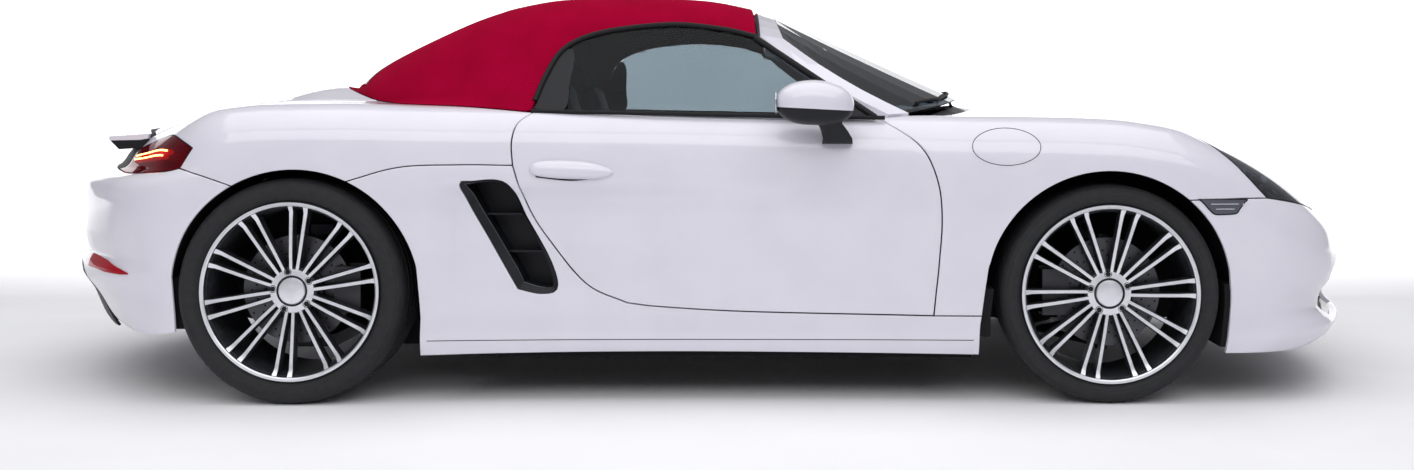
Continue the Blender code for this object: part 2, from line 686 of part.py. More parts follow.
def bumper_grids():
    z = front_arch_nose[0][2]
    low = through([front_arch_nose[0], (1.80, .80, z), (1.98, .60, z), (2.08, .35, z), (2.10, 0, z)], 18)
    low[1:] = from_spine(low[1:], height=z)
    top = chain(nose_seam, lamp_low, lamp_front[::-1], nose_join, hood_front)
    side = patch(low, top, front_arch_nose, middle_line(low[-1], top[-1], len(front_arch_nose)))
    return with_mirror([side])


def front_bumper():
    made = panel("front_bumper", 1, bumper_grids(), PANEL_THICK, WHITE)
    cut(made, extra(prism(SIDE_MOUTH, 1.6, 2.3, "x")), extra(prism(SIDE_MOUTH, 1.6, 2.3, "x"), -1),
        extra(prism(MIDDLE_MOUTH, 1.6, 2.3, "x")))


def front_grille():
    """One dark moulding behind the three mouths: a back sheet, level bars and a bracket to the tub."""
    across = np.linspace(-GRILLE_REACH, GRILLE_REACH, 9)

    def face(levels, depth):
        """Points behind the bumper's outer surface, one row for each distance across."""
        grid = np.array([[on_end(np.array([(abs(y), z)]), 1)[0] * (1, np.sign(y) or 1, 1) for z in levels]
                         for y in across])
        level = inward(grid) * (1, 1, 0)
        return grid + level / np.linalg.norm(level, axis=-1, keepdims=True) * depth

    grid = np.stack([face(GRILLE_LEVELS, GRILLE_SET), face(GRILLE_LEVELS, GRILLE_SET + GRILLE_WALL)])
    points, faces = welded([grid[0]])
    made = add("front_grille", thickened(points, faces, welded([grid[1]])[0] - points), BLACK)
    for z in GRILLE_BARS_Z:
        edges = (z, z + GRILLE_BAR_THICK)
        front, back = face(edges, PANEL_THICK + .0025), face(edges, GRILLE_SET + .010)
        join(made, extra(loft(np.stack([back[:, 0], front[:, 0], front[:, 1], back[:, 1]], 1))))
    join(made, extra(box((NOSE_TUB_X + .002 + SEAT_GAP, -.10, .24), (2.12, .10, .30))))
    points, faces = welded(bumper_grids())
    room = inward(points)
    cut(made, extra(thickened(points - room * .01, faces, room * (PANEL_THICK + SEAT_GAP + .01))))


def hood():
    edge = chain(hood_side, hood_tip_side)
    half = patch(hood_rear, hood_front, edge, middle_line(hood_rear[-1], hood_front[-1], len(edge)))
    return panel("hood", 1, with_mirror([half]), PANEL_THICK, WHITE, HOOD_GAP, HOOD_PIVOT)


def headlamp(name, flip):
    lens = patch(chain(lamp_back, lamp_side), chain(lamp_top_front, lamp_front), lamp_inner, lamp_low)
    panel(name, flip, [lens], PANEL_THICK, LENS_CLEAR)


def side_panel(name, flip):
    top = chain(fender_bottom[::-1], door_bottom[::-1], rocker_seam)
    bottom = on_line([front_arch_foot[0], rear_arch_foot[0]], len(top))
    rocker = patch(bottom, top, front_arch_foot, rear_arch_foot)
    flank = patch(rocker_seam, side_seam, door_rear_low, rear_arch_rise)
    made = panel(name, flip, [rocker, flank], PANEL_THICK, WHITE,
                 door_edge=np.vstack([door_bottom, door_rear_low]))
    cut(made, extra(prism(intake_outline(), .70, 1.0, "y"), flip))
    join(made, extra(box((-.10, SILL_OUT_Y + SEAT_GAP, .19), (.10, .835, .23)), flip))
    return made


def intake_outline(inset=0.0):
    """The side intake's rim in side view, drawn in by an inset."""
    rim = through([(-.53, .345), (-.62, .50), (-.700, .655), (-.66, .675), (-.56, .668), (-.50, .56),
                   (-.425, .42), (-.41, .345), (-.46, .33), (-.53, .345)], 18)[:-1]
    along = np.roll(rim, -1, axis=0) - np.roll(rim, 1, axis=0)
    along /= np.linalg.norm(along, axis=1, keepdims=True)
    return rim + inset * np.column_stack([along[:, 1], -along[:, 0]])


def outside_of_side(x, z, clear):
    """What lies outside the body's left side over a range of x and z, starting this far inside the skin."""
    spots = on_side(np.array([(a, b) for b in np.linspace(*z, 8) for a in np.linspace(*x, 6)]))
    points, faces = welded([(spots - (0, clear, 0)).reshape(8, 6, 3)])
    return thickened(points, faces, np.array([(0, .2, 0)] * len(points)))


def side_intake(name, flip):
    """Duct mouth behind the side panel's opening: a deep tray with two level blades across it."""
    made = add(name, flipped(prism(intake_outline(INTAKE_GAP), POST_OUT_Y + SEAT_GAP, 1.0, "y"), flip), BLACK)
    cut(made, extra(prism(intake_outline(INTAKE_GAP + INTAKE_WALL), POST_OUT_Y + INTAKE_WALL, 1.1, "y"), flip))
    for z in INTAKE_BLADES_Z:
        blade = extra(box((-.75, POST_OUT_Y + .002, z - BLADE_THICK / 2), (-.38, 1.0, z + BLADE_THICK / 2)), flip)
        rim = extra(prism(intake_outline(INTAKE_GAP + INTAKE_WALL / 2), .70, .822, "y"), flip)
        bake(combine(blade, rim, "INTERSECT"))
        bpy.data.objects.remove(rim)
        join(made, blade)
    cut(made, extra(outside_of_side((-.76, -.36), (.29, .71), .002), flip))


def rear_quarter(name, flip):
    ahead = patch(side_seam, top_rail, door_rear_high, quarter_join)
    over = patch(rear_arch_top, deck_side, quarter_join, quarter_back)
    behind = patch(tail_seam, lid_corner, quarter_back, tail_edge)
    beside_lid = patch(lamp_top, lid_side, tail_join, lid_edge)
    panel(name, flip, [ahead, over, behind, beside_lid], PANEL_THICK, WHITE,
          door_edge=door_rear_high)


def rear_bumper():
    top = chain(tail_seam, lamp_bottom, strip_bottom)
    side = patch(tail_low, top, rear_arch_back, tail_middle)
    panel("rear_bumper", 1, with_mirror([side]), PANEL_THICK, WHITE)


def tail_strip():
    left = chain(lamp_end, lid_edge)
    side = patch(strip_bottom, strip_top, left, middle_line(strip_bottom[-1], strip_top[-1], len(left)))
    panel("tail_strip", 1, with_mirror([side]), PANEL_THICK, BLACK)


def tail_lamp(name, flip):
    panel(name, flip, [patch(lamp_bottom, lamp_top, lamp_nose, lamp_end)], PANEL_THICK, LENS_RED)


def deck():
    side = patch(deck_front, deck_rear, deck_side, middle_line(deck_front[-1], deck_rear[-1], len(deck_side)))
    panel("deck_panel", 1, with_mirror([side]), LID_THICK, WHITE)


def rear_lid():
    left = chain(lid_corner, lid_side)
    half = patch(deck_rear, strip_top, left, middle_line(deck_rear[-1], strip_top[-1], len(left)))
    return panel("rear_lid", 1, with_mirror([half]), LID_THICK, WHITE, LID_GAP, LID_PIVOT)


def diffuser():
    top = tail_low[5:]
    bottom = floor_tail
    left = spread(bottom[0], top[0], 4)
    side = from_spine(coons(bottom, top, left, middle_line(bottom[-1], top[-1], 4)))
    made = panel("rear_diffuser", 1, with_mirror([side]), PANEL_THICK, BLACK)
    reach, room = TIP_Y + TIP_R, .008
    cut(made, extra(box((-2.3, -reach - room, TIP_Z - TIP_R - room), (-1.85, reach + room, TIP_Z + TIP_R + room))))


def door_patch():
    return patch(door_bottom, door_top, chain(door_rear_low, door_rear_high), chain(door_front_low, door_front_high))


def door_ledge(x):
    """Height of the flat top of the door at each x."""
    half = door_patch()
    points, faces = welded([half])
    top = [np.linalg.norm(points - p, axis=1).argmin() for p in half[:, -1]]
    ledge = drawn_in(points, faces, DOOR_GAP / 2)[top]
    return np.interp(x, ledge[:, 0], ledge[:, 2])


def door(name, flip):
    half = door_patch()
    made = panel(name, flip, [half], DOOR_THICK, WHITE, DOOR_GAP, DOOR_PIVOT * (1, flip, 1), straight=(0, -1, 0))
    return made


# Cabin: screen frame, glass and fabric top


def cabin(points, low=.60):
    """Points moved on to the surface of the fabric top and its side windows."""
    return from_spine(points, cabin_field, 1.2, low)


def header_line(x_side, z_side, x_mid, z_mid, half, spots):
    y = np.linspace(half, 0, spots)
    share = 1 - (y / half) ** 2
    return np.column_stack([x_side + (x_mid - x_side) * share, y, z_side + (z_mid - z_side) * share])


def screen_frame():
    outer = chain(through([(.600, .752, .874), (.46, .738, .945), (.32, .69, 1.03), (.20, .620, 1.125)], 7),
                  header_line(.200, 1.125, .165, 1.243, .620, 7))
    inner = chain(through([(.665, .728, .878), (.53, .708, .945), (.39, .655, 1.03), (.272, .575, 1.118)], 7),
                  header_line(.272, 1.118, .232, 1.222, .575, 7))
    outer[6:, 0] = np.linspace(outer[6, 0], .168, 7)
    left = through([outer[0], inner[0]], 3)
    right = through([outer[-1], inner[-1]], 3)
    strip = coons(outer, inner, left, right)
    points, faces = welded(with_mirror([strip]))
    depth = np.array([(-.008, 0, -.020)] * len(points))
    made = add("screen_frame", thickened(points, faces, depth), WHITE)
    join(made, *(extra(box((.640, .700, SCUTTLE_TOP + SEAT_GAP), (.668, .742, .870)), flip) for flip in (1, -1)))
    return made, inner


def screen_glass(inner):
    edge = inner + np.array((.0006, 0, .0003))
    top = edge[6:]
    side = edge[:7]
    bottom = through([side[0], (.78, .52, .900), (.868, .25, .922), (.885, 0, .925)], 7)
    middle = through([bottom[-1], (.55, 0, 1.083), top[-1]], 7)
    sheet = coons(bottom, top, side, middle)
    points, faces = welded(with_mirror([sheet]))
    points = drawn_in(points, faces, .001)
    return add("screen_glass", thickened(points, faces, np.array([(-.0025, 0, -.0043)] * len(points))), GLASS), bottom


def cowl():
    front = through([(.775, .645, .838), (.86, .52, .848), (.94, .30, .860), (.99, 0, .858)], 6)
    rear = through([(.715, .645, .862), (.80, .45, .884), (.864, .22, .898), (.878, 0, .902)], 6)
    side = through([rear[0], front[0]], 3)
    sheet = coons(rear, front, side, through([rear[-1], front[-1]], 3))
    points, faces = welded(with_mirror([sheet]))
    made = add("cowl_panel", thickened(points, faces, np.array([(0, 0, -.012)] * len(points))), BLACK)
    join(made, *(extra(box((.826, .42, SCUTTLE_TOP + SEAT_GAP), (.849, .46, .868)), flip) for flip in (1, -1)))


WINDOW = [(-.502, .8890), (-.466, 1.00), (-.415, 1.085), (-.30, 1.135), (-.09, 1.160), (.08, 1.145), (.188, 1.120)]


def on_cabin_side(xz):
    return on_side(xz, cabin_field)


def resample_on(points, spots):
    return cabin(through(points, spots))


def soft_top():
    window = on_cabin_side(through(WINDOW, 9))
    corner = window[0]
    pane_top = cabin(through([(-.700, .40, 1.19), (-.715, .22, 1.21), (-.72, 0, 1.212)], 4))
    pane_low = cabin(through([(-1.13, .45, 1.00), (-1.19, .25, 1.0), (-1.205, 0, .99)], 5))
    pane_side = cabin(through([pane_top[0], pane_low[0]], 6))
    back = cabin(through([corner, (-.56, .68, 1.05), pane_top[0]], 5))
    header = cabin(through([window[-1], (.165, .35, 1.22), (.160, 0, 1.24)], 8))
    middle = cabin(through([(.160, 0, 1.24), (-.25, 0, 1.28), pane_top[-1]], 9))
    roof = cabin(coons(window[::-1], middle, header, chain(back, pane_top)))
    base = np.vstack([top_rail, deck_front[1:]]) + np.array((0, 0, .0024))
    base[0] = corner
    side_base, tail_base = base[:6], base[5:]
    hip = cabin(through([side_base[-1], pane_low[0]], 5))
    flank = cabin(coons(side_base, pane_side, back, hip))
    flank[:, 0] = side_base
    tail_back = cabin(through([tail_base[-1], pane_low[-1]], 5))
    tail = cabin(coons(tail_base, resample_on(pane_low, 6), hip, tail_back))
    tail[:, 0] = tail_base
    pane_low6 = tail[:, -1]
    sheets = [roof, flank, tail]
    points, faces = welded(with_mirror(sheets))
    points = drawn_in(points, faces, SEAT_GAP / 2)
    add("soft_top", thickened(points, faces, inward(points, cabin_field) * TOP_THICK), FABRIC)
    pane = cabin(coons(cabin(through(pane_top, 6)), pane_low6, pane_side, cabin(through([pane_top[-1], pane_low[-1]], 6))))
    points, faces = welded(with_mirror([pane]))
    points = drawn_in(points, faces, .0012)
    add("rear_window", thickened(points, faces, inward(points, cabin_field) * GLASS_THICK), GLASS)
    return window


def door_glass(name, flip):
    window = on_cabin_side(through(WINDOW, 11))
    low = on_cabin_side([(x, z) for x, z in zip(np.linspace(-.470, .555, 9), np.interp(np.linspace(-.470, .555, 9),
                                                                                 (-.5, .57), (.8812, .8632)))])
    rear = window[:4]
    front = on_cabin_side(through([(.555, .8635), (.38, .985), (.188, 1.120)], 4))
    top = resample_on(window[3:], 9)
    sheet = cabin(coons(low, top, rear, front))
    points, faces = welded([sheet])
    points = drawn_in(points, faces, .0065)
    points, faces = thickened(points, faces, inward(points, cabin_field) * GLASS_THICK)
    foot = points[:, 2] < .8925
    points[foot, 2] = door_ledge(points[foot, 0]) + 2 * SEAT_GAP
    add(name, (mirrored(points) if flip < 0 else points, faces), GLASS, DOOR_PIVOT * (1, flip, 1))


# Wheels, brakes and axles


def wheel_places():
    """Name, x, side, half track, radius, tyre width of each wheel."""
    return [(f"{end}_{side}", x, flip, track, radius, width)
            for end, x, track, radius, width in (
                ("front", FRONT_AXLE_X, FRONT_HALF_TRACK, FRONT_TYRE_R, FRONT_TYRE_WIDTH),
                ("rear", REAR_AXLE_X, REAR_HALF_TRACK, REAR_TYRE_R, REAR_TYRE_WIDTH))
            for side, flip in (("left", 1), ("right", -1))]


def tyre(name, centre, radius, width):
    """A tyre whose flats, not its corners, lie at the true radius, so that one flat rests on the road."""
    half = width / 2
    bed = RIM_BED_R + SEAT_GAP
    lip = RIM_R + SEAT_GAP
    tread = radius / cos(pi / WHEEL_STEPS)
    side = [(bed, .0207), (lip, .0177), (tread - .045, 0), (tread - .010, .010), (tread, .035)]
    profile = [(r, -half + w) for r, w in side] + [(r, half - w) for r, w in side[::-1]]
    add(f"tyre_{name}", lathe(profile, WHEEL_STEPS, centre), RUBBER, centre)


def rim(name, centre, width, flip):
    half = width / 2
    bed, lip = RIM_BED_R, RIM_BED_R - RIM_WALL
    barrel = lathe([(bed, -half + .020), (bed, half - .020), (RIM_R, half - .017), (RIM_R, half - .006),
                    (RIM_R - .012, half - .006), (lip, half - .03), (lip, -half + .020)], WHEEL_STEPS, centre)
    made = add(f"rim_{name}", barrel, ALLOY, centre)
    face = half - .018
    parts = [extra_at(lathe([(.020, face - .050), (HUB_R, face - .050), (HUB_R, face - .012), (.034, face - .012),
                             (.020, face - .018)], 12, (0, 0, 0)), centre, flip)]
    for k in range(SPOKE_PAIRS * 2):
        for side in (-1, 1):
            parts.append(extra_at(spoke(k * pi / SPOKE_PAIRS, side, face, half), centre, flip))
    if flip < 0:
        made.data.transform(Matrix.Scale(-1, 4, (0, 1, 0)))
        made.data.flip_normals()
    return join(made, *parts)


def extra_at(shape, centre, flip):
    points, faces = flipped(shape, flip)
    return helper("extra", np.array(points) + np.array(centre), faces)


def spoke(turn, side, face, half):
    """One leg of a twin spoke, from the hub out to the rim."""
    stations = [(.055, .0092, face - .015, .030), (RIM_BED_R * cos(pi / WHEEL_STEPS) - .004, .0235, half - .012, .030)]
    rings = []
    for r, off, top, deep in stations:
        w = .0065
        ring = [(r, side * off - w, top), (r, side * off + w, top), (r, side * off + w * 1.3, top - deep),
                (r, side * off - w * 1.3, top - deep)]
        c, s = cos(turn), sin(turn)
        rings.append([(a * c - b * s, y, a * s + b * c) for a, b, y in ring])
    return loft(rings)


def brake_disc(name, centre, radius, half, flip):
    y0 = half - .018 - .050 - SEAT_GAP
    shape = lathe([(BORE_R, y0 - .045), (radius, y0 - .045), (radius, y0 - .045 + DISC_THICK),
                   (.082, y0 - .045 + DISC_THICK), (.080, y0), (BORE_R, y0)], DISC_STEPS, (0, 0, 0))
    points, faces = flipped(shape, flip)
    add(f"brake_disc_{name}", (points + np.array(centre), faces), STEEL, centre)


# The tub that carries everything, seats, controls and axles


def chassis_tub():
    made = add("chassis_tub", box((CABIN_REAR_X, -SILL_OUT_Y, FLOOR_BOTTOM), (BULKHEAD_X[1], SILL_OUT_Y, FLOOR_TOP)), BLACK)
    parts = [
        extra(box((BULKHEAD_X[0], -SILL_OUT_Y, FLOOR_BOTTOM + .01), (BULKHEAD_X[1] + .001, SILL_OUT_Y, SCUTTLE_TOP))),
        extra(box((.655, -.745, SCUTTLE_TOP - .05), (BULKHEAD_X[0] + .01, .745, SCUTTLE_TOP + 1e-4))),
        extra(box((CABIN_REAR_X - .03, -.745, FLOOR_BOTTOM + .005), (CABIN_REAR_X + .01, .745, .845))),
        extra(box((CABIN_REAR_X - .20, -.56, FLOOR_BOTTOM + .002), (CABIN_REAR_X, .56, FLOOR_TOP + .002))),
    ]
    nose = [(BULKHEAD_X[0] + .02, FLOOR_BOTTOM + .003), (.95, .2003), (NOSE_TUB_X, .2003), (NOSE_TUB_X, .520),
            (1.55, .700), (1.20, .770), (BULKHEAD_X[0] + .02, .798)]
    tail = [(CABIN_REAR_X - .01, FLOOR_BOTTOM + .004), (-1.0, FLOOR_BOTTOM + .004), (-1.10, .20), (-1.36, .20), (TAIL_TUB_X, .30), (TAIL_TUB_X, .58),
            (-1.40, .66), (-1.20, .80), (CABIN_REAR_X - .01, .84)]
    for flip in (1, -1):
        parts += [
            extra(box((-.780, SILL_IN_Y, FLOOR_BOTTOM + .006), (BULKHEAD_X[0] + .03, SILL_OUT_Y, .250)), flip),
            extra(box((CABIN_REAR_X - .028, .60, FLOOR_BOTTOM + .007), (CABIN_REAR_X + .008, POST_OUT_Y, .846)), flip),
            extra(prism(nose, NOSE_TUB_Y, NOSE_TUB_Y + WALL, "y"), flip),
            extra(prism(tail, TAIL_TUB_Y, TAIL_TUB_Y + WALL, "y"), flip),
            extra(box((.777, .6703, .78), (.815, .684, HOOD_PIVOT[2])), flip),
            extra(disc(.007, .6703, .684, (HOOD_PIVOT[0], 0, HOOD_PIVOT[2]), 12), flip),
            extra(box((LID_PIVOT[0] - .008, .562, .60), (LID_PIVOT[0] + .008, .578, LID_PIVOT[2])), flip),
            extra(disc(.007, .562, .578, (LID_PIVOT[0], 0, LID_PIVOT[2]), 12), flip),
        ]
        for z in HINGE_Z:
            parts += [
                extra(box((DOOR_PIVOT[0] - .006, .735, z - .020), (DOOR_PIVOT[0] + .006, DOOR_PIVOT[1], z + .020)), flip),
                extra(box((DOOR_PIVOT[0] - .010, .715, z - .020), (BULKHEAD_X[0] + .01, .737, z + .020)), flip),
                extra(disc(.007, z - .0205, z + .0205, (DOOR_PIVOT[0], DOOR_PIVOT[1], 0), 8, "z"), flip),
            ]
    parts += [
        extra(box((BULKHEAD_X[0] + .01, -NOSE_TUB_Y - .001, .2004), (NOSE_TUB_X + .001, NOSE_TUB_Y + .001, .22))),
        extra(box((NOSE_TUB_X - WALL, -NOSE_TUB_Y - .002, .201), (NOSE_TUB_X + .002, NOSE_TUB_Y + .002, .519))),
        extra(box((TAIL_TUB_X - .001, -TAIL_TUB_Y - .001, .36), (-1.30, TAIL_TUB_Y + .001, .38))),
        extra(box((TAIL_TUB_X - .002, -TAIL_TUB_Y - .002, .361), (TAIL_TUB_X + WALL, TAIL_TUB_Y + .002, .579))),
        extra(box((-1.32, -TAIL_TUB_Y - .003, .22), (-1.30, TAIL_TUB_Y + .003, .60))),
    ]
    return join(made, *parts)


HINGE_Z = (.480, .650)


def door_hinge_room(flip):
    """What the fixed hinge arms swing through as the door opens."""
    x, y, _ = DOOR_PIVOT
    return [extra(box((x - .016, .70, z - .032), (x + .20, y + .0075, z + .032)), flip) for z in HINGE_Z]


def door_pins(name, flip):
    """Round bosses over and under each fixed arm, on the hinge line."""
    x, y, _ = DOOR_PIVOT
    pins = []
    for z in HINGE_Z:
        for low, high in ((z - .045, z - .0205 - SEAT_GAP), (z + .0205 + SEAT_GAP, z + .045)):
            pins.append(extra(disc(.007, low, high, (x, y, 0), 8, "z"), flip))
    return pins


def seat(name, flip):
    """A bucket seat: cushion, back and head rest in one shell."""
    y0 = .37
    side = [(.34, .175), (.36, .30), (.33, .345), (.05, .300), (-.16, .285), (-.22, .33), (-.40, .80), (-.44, .985),
            (-.50, .99), (-.545, .96), (-.47, .62), (-.36, .20), (-.30, .1603)]
    made = add(name, prism([(x, z) for x, z in side], flip * y0 - .235, flip * y0 + .235, "y"), LEATHER)
    return made


def dashboard():
    outline = [(.50, .62), (.44, .68), (.43, .76), (.50, .815), (.645, .830), (.6547, .80), (.6547, .62)]
    add("dashboard", prism(outline, -.68, .68, "y"), LEATHER)


WHEEL_HUB = np.array((.25, .37, .790))
COLUMN_LEAN = 24.0


def steering_wheel():
    lean = Matrix.Rotation(radians(COLUMN_LEAN), 4, "Y")
    ring = [(.178 + .013 * cos(a), .013 * sin(a)) for a in np.arange(6) * pi / 3]
    made = add("steering_wheel", lathe(ring, 16, (0, 0, 0), "x"), LEATHER)
    parts = [extra(disc(.055, -.015, .045, (0, 0, 0), 16, "x")),
             extra(box((-.008, -.175, -.014), (.008, .175, .014))),
             extra(box((-.007, -.013, -.175), (.007, .013, 0))),
             extra(disc(.020, .03, .090 - SEAT_GAP, (0, 0, 0), 12, "x"))]
    join(made, *parts)
    made.data.transform(lean)
    made.location = WHEEL_HUB
    return made


def column():
    """The fixed steering column, from the dashboard to the back of the wheel's boss."""
    shape = disc(.030, .090, .26, (0, 0, 0), 12, "x")
    lean = np.array(Matrix.Rotation(radians(COLUMN_LEAN), 4, "Y").to_3x3())
    return np.array(shape[0]) @ lean.T + WHEEL_HUB, shape[1]


def engine():
    made = add("engine_block", box((-1.22, -.36, .215), (-.70, .36, .62)), STEEL)
    join(made, *(extra(box((-1.00, .30, .50), (-.92, TAIL_TUB_Y - SEAT_GAP, .54)), flip) for flip in (1, -1)))


def front_axle():
    x, z = FRONT_AXLE_X, .185
    made = add("front_axle", box((x - .05, -NOSE_TUB_Y - .02, .150), (x + .05, NOSE_TUB_Y + .02, .2)), STEEL)
    parts = []
    for flip in (1, -1):
        parts += [
            extra(tube([(x, .40, .168), (x, .60, .162), (x, KNUCKLE_Y, .158)], .012), flip),
            extra(disc(.020, .146, .172, (x, KNUCKLE_Y, 0), 8, "z"), flip),
            extra(tube([(x - .04, .40, .175), (x - .15, NOSE_TUB_Y + .03, .165), (x - .02, KNUCKLE_Y - .03, .158)], .011), flip),
            extra(box((x - .020, .30, .151), (x + .020, NOSE_TUB_Y + .0455, .195)), flip),
            extra(box((x - .020, NOSE_TUB_Y + .0203, .155), (x + .020, NOSE_TUB_Y + .0453, .520)), flip),
            extra(tube([(x, NOSE_TUB_Y + .03, .505), (x, .60, .500), (x, KNUCKLE_Y, .492)], .012), flip),
            extra(disc(.018, .472, .500, (x, KNUCKLE_Y, 0), 8, "z"), flip),
        ]
    return join(made, *parts)


KNUCKLE_Y = FRONT_HALF_TRACK - .030
KNUCKLE_LOW, KNUCKLE_HIGH = .172 + SEAT_GAP, .472 - SEAT_GAP


def stub(half, track, low, high, x, z, y):
    """Upright between two heights with a stub axle out to the hub."""
    hub_back = track + half - .018 - .050 - SEAT_GAP
    return [disc(BORE_R * cos(pi / DISC_STEPS) - SEAT_GAP, y, hub_back - .001, (x, 0, z), 12),
            disc(.060, y - .015, track + half - .018 - .095 - 2 * SEAT_GAP, (x, 0, z), 12)]


def knuckle(name, flip):
    x, z = FRONT_AXLE_X, FRONT_TYRE_R
    half = FRONT_TYRE_WIDTH / 2
    made = add(name, flipped(disc(.020, KNUCKLE_LOW, KNUCKLE_HIGH, (x, KNUCKLE_Y, 0), 8, "z"), flip), STEEL,
               (x, flip * KNUCKLE_Y, z))
    parts = [extra(s, flip) for s in stub(half, FRONT_HALF_TRACK, 0, 0, x, z, KNUCKLE_Y)]
    parts += [extra(s, flip) for s in caliper(x, z, FRONT_HALF_TRACK, half, -1, KNUCKLE_Y)]
    return join(made, *parts)


def caliper(x, z, track, half, way, y):
    """A brake caliper over the disc's edge and its arm to the upright. Way says on which side of the axle."""
    face = track + half - .018 - .050 - SEAT_GAP
    inner, outer = face - .045 - .006, face - .045 + DISC_THICK + .006
    x0, x1 = sorted((x + way * .118, x + way * .198))
    bx0, bx1 = sorted((x + way * (DISC_R + .007), x + way * .198))
    ax0, ax1 = sorted((x + way * .01, x + way * .150))
    return [box((x0, inner - .030, z - .075), (x1, inner, z + .075)),
            box((x0, outer, z - .070), (x1, outer + .014, z + .070)),
            box((bx0, inner - .010, z - .065), (bx1, outer + .004, z + .065)),
            box((ax0, y - .014, z - .030), (ax1, inner - .004, z + .030))]


def rear_axle():
    x, z = REAR_AXLE_X, REAR_TYRE_R
    half = REAR_TYRE_WIDTH / 2
    y = REAR_HALF_TRACK - .035
    made = add("rear_axle", box((x - .06, -.64, .135), (x + .06, .64, .175)), STEEL)
    parts = [extra(box((x - .05, -TAIL_TUB_Y + SEAT_GAP, .16), (x - .02, TAIL_TUB_Y - SEAT_GAP, .205)))]
    for flip in (1, -1):
        parts += [extra(s, flip) for s in stub(half, REAR_HALF_TRACK, 0, 0, x, z, y)]
        parts += [extra(s, flip) for s in caliper(x, z, REAR_HALF_TRACK, half, 1, y)]
        parts += [
            extra(disc(.024, .165, .500, (x, y, 0), 8, "z"), flip),
            extra(tube([(x, .60, .155), (x, y, .185)], .016), flip),
            extra(tube([(x + .03, TAIL_TUB_Y + .030, .48), (x, y, .475)], .013), flip),
            extra(box((x - .03, TAIL_TUB_Y + WALL + SEAT_GAP, .150), (x + .04, TAIL_TUB_Y + .045, .52)), flip),
        ]
    return join(made, *parts)


def mirror(name, flip):
    """A door mirror: a rounded shell that narrows forward, on a foot seated on the door's shoulder."""
    rings = []
    for x, low, high, y_in, y_out in MIRROR_RINGS:
        turn = np.arange(12) * pi / 6
        across, up = np.cos(turn), np.sin(turn)
        y = (y_in + y_out) / 2 + (y_out - y_in) / 2 * np.sign(across) * np.abs(across) ** .6
        z = (low + high) / 2 + (high - low) / 2 * np.sign(up) * np.abs(up) ** .7
        rings.append(np.column_stack([np.full(12, x), y, z]))
    made = add(name, flipped(loft(rings), flip), WHITE, DOOR_PIVOT * (1, flip, 1))
    foot = loft([[(x + dx, y + dy, z) for dx, dy in ((-.036, 0), (0, -.014), (.036, 0), (0, .014))]
                 for x, y, z in ((.425, .850, .775), (.415, .880, .815), (.385, .915, .875))])
    join(made, extra(foot, flip))
    spots = on_side(np.array([(x, z) for z in np.linspace(.70, .845, 8) for x in np.linspace(.34, .50, 5)]))
    skin = (spots + (0, SEAT_GAP, 0)).reshape(8, 5, 3)
    points, faces = welded([skin])
    cut(made, extra(thickened(points, faces, np.array([(0, -.15, 0)] * len(points))), flip))
    return made


# Mirror shell: x, lowest z, highest z, inner y, outer y
MIRROR_RINGS = [(.251, .868, .950, .895, .992), (.30, .853, .972, .880, .997), (.37, .846, .977, .876, .994),
                (.44, .852, .960, .882, .980), (.487, .878, .925, .905, .960)]


def arch_liner(name, centre, radius, edges, flip):
    """A wheel-house liner: an arched wall over the wheel, from the tub out to the panels."""
    angle = np.radians(np.linspace(-8, 188, 13))
    r = np.array([radius + LINER_ROOM, radius + LINER_ROOM + LINER_WALL])
    outline = np.vstack([np.column_stack([centre[0] + r[0] * np.cos(angle), centre[1] + r[0] * np.sin(angle)]),
                         np.column_stack([centre[0] + r[1] * np.cos(angle), centre[1] + r[1] * np.sin(angle)])[::-1]])
    rings = [np.column_stack([outline[:, 0], np.full(len(outline), y), outline[:, 1]]) for y in edges]
    n = len(angle)
    points = np.vstack(rings)
    m = 2 * n
    ends = [[(k, k + 1, m - 2 - k, m - 1 - k) for k in range(n - 1)]]
    faces = [tuple(q) for q in ends[0]] + [tuple(v + m for v in q[::-1]) for q in ends[0]]
    faces += [(k, k + m, (k + 1) % m + m, (k + 1) % m) for k in range(m)]
    add(name, flipped((points, faces), flip), BLACK)


def exhaust():
    """Silencer hung under the boot floor, with two round tips side by side in the middle."""
    made = add("exhaust", box((-1.84, -.38, .215), (-1.50, .38, .360 - SEAT_GAP)), STEEL)
    ring = [(TIP_R - .004, -2.065), (TIP_R, -2.065), (TIP_R, -1.83), (TIP_R - .004, -1.83)]
    join(made, *(extra(lathe(ring, 14, (0, y, TIP_Z), "x")) for y in (TIP_Y, -TIP_Y)))


def rear_spoiler():
    """A thin blade that trails off the tail strip's top edge, right across between the lamps."""
    rings = []
    for y in np.linspace(-SPOILER_HALF, SPOILER_HALF, 7):
        root = strip_top_at(abs(y))
        tip = -2.020 + .19 * y ** 2
        rings.append([(root[0] - .012, y, root[1] + .007), (tip, y, .8135), (tip, y, .8080),
                      (root[0] - .040, y, root[1] - .022), (root[0] - .016, y, root[1] - .012)])
    made = add("rear_spoiler", loft(rings), WHITE)
    half = patch(strip_bottom, strip_top, chain(lamp_end, lid_edge),
                 middle_line(strip_bottom[-1], strip_top[-1], len(lamp_end) + len(lid_edge) - 1))
    points, faces = welded(with_mirror([half]))
    out = points - inward(points) * SEAT_GAP
    cut(made, extra(thickened(out, faces, inward(points) * (PANEL_THICK + .01))))
    return made


def strip_top_at(y):
    """x and z of the tail strip's top edge at a distance from the middle."""
    edge = strip_top[np.argsort(strip_top[:, 1])]
    return np.interp(y, edge[:, 1], edge[:, 0]), np.interp(y, edge[:, 1], edge[:, 2])


def lug(points, flip):
    return extra(points, flip)


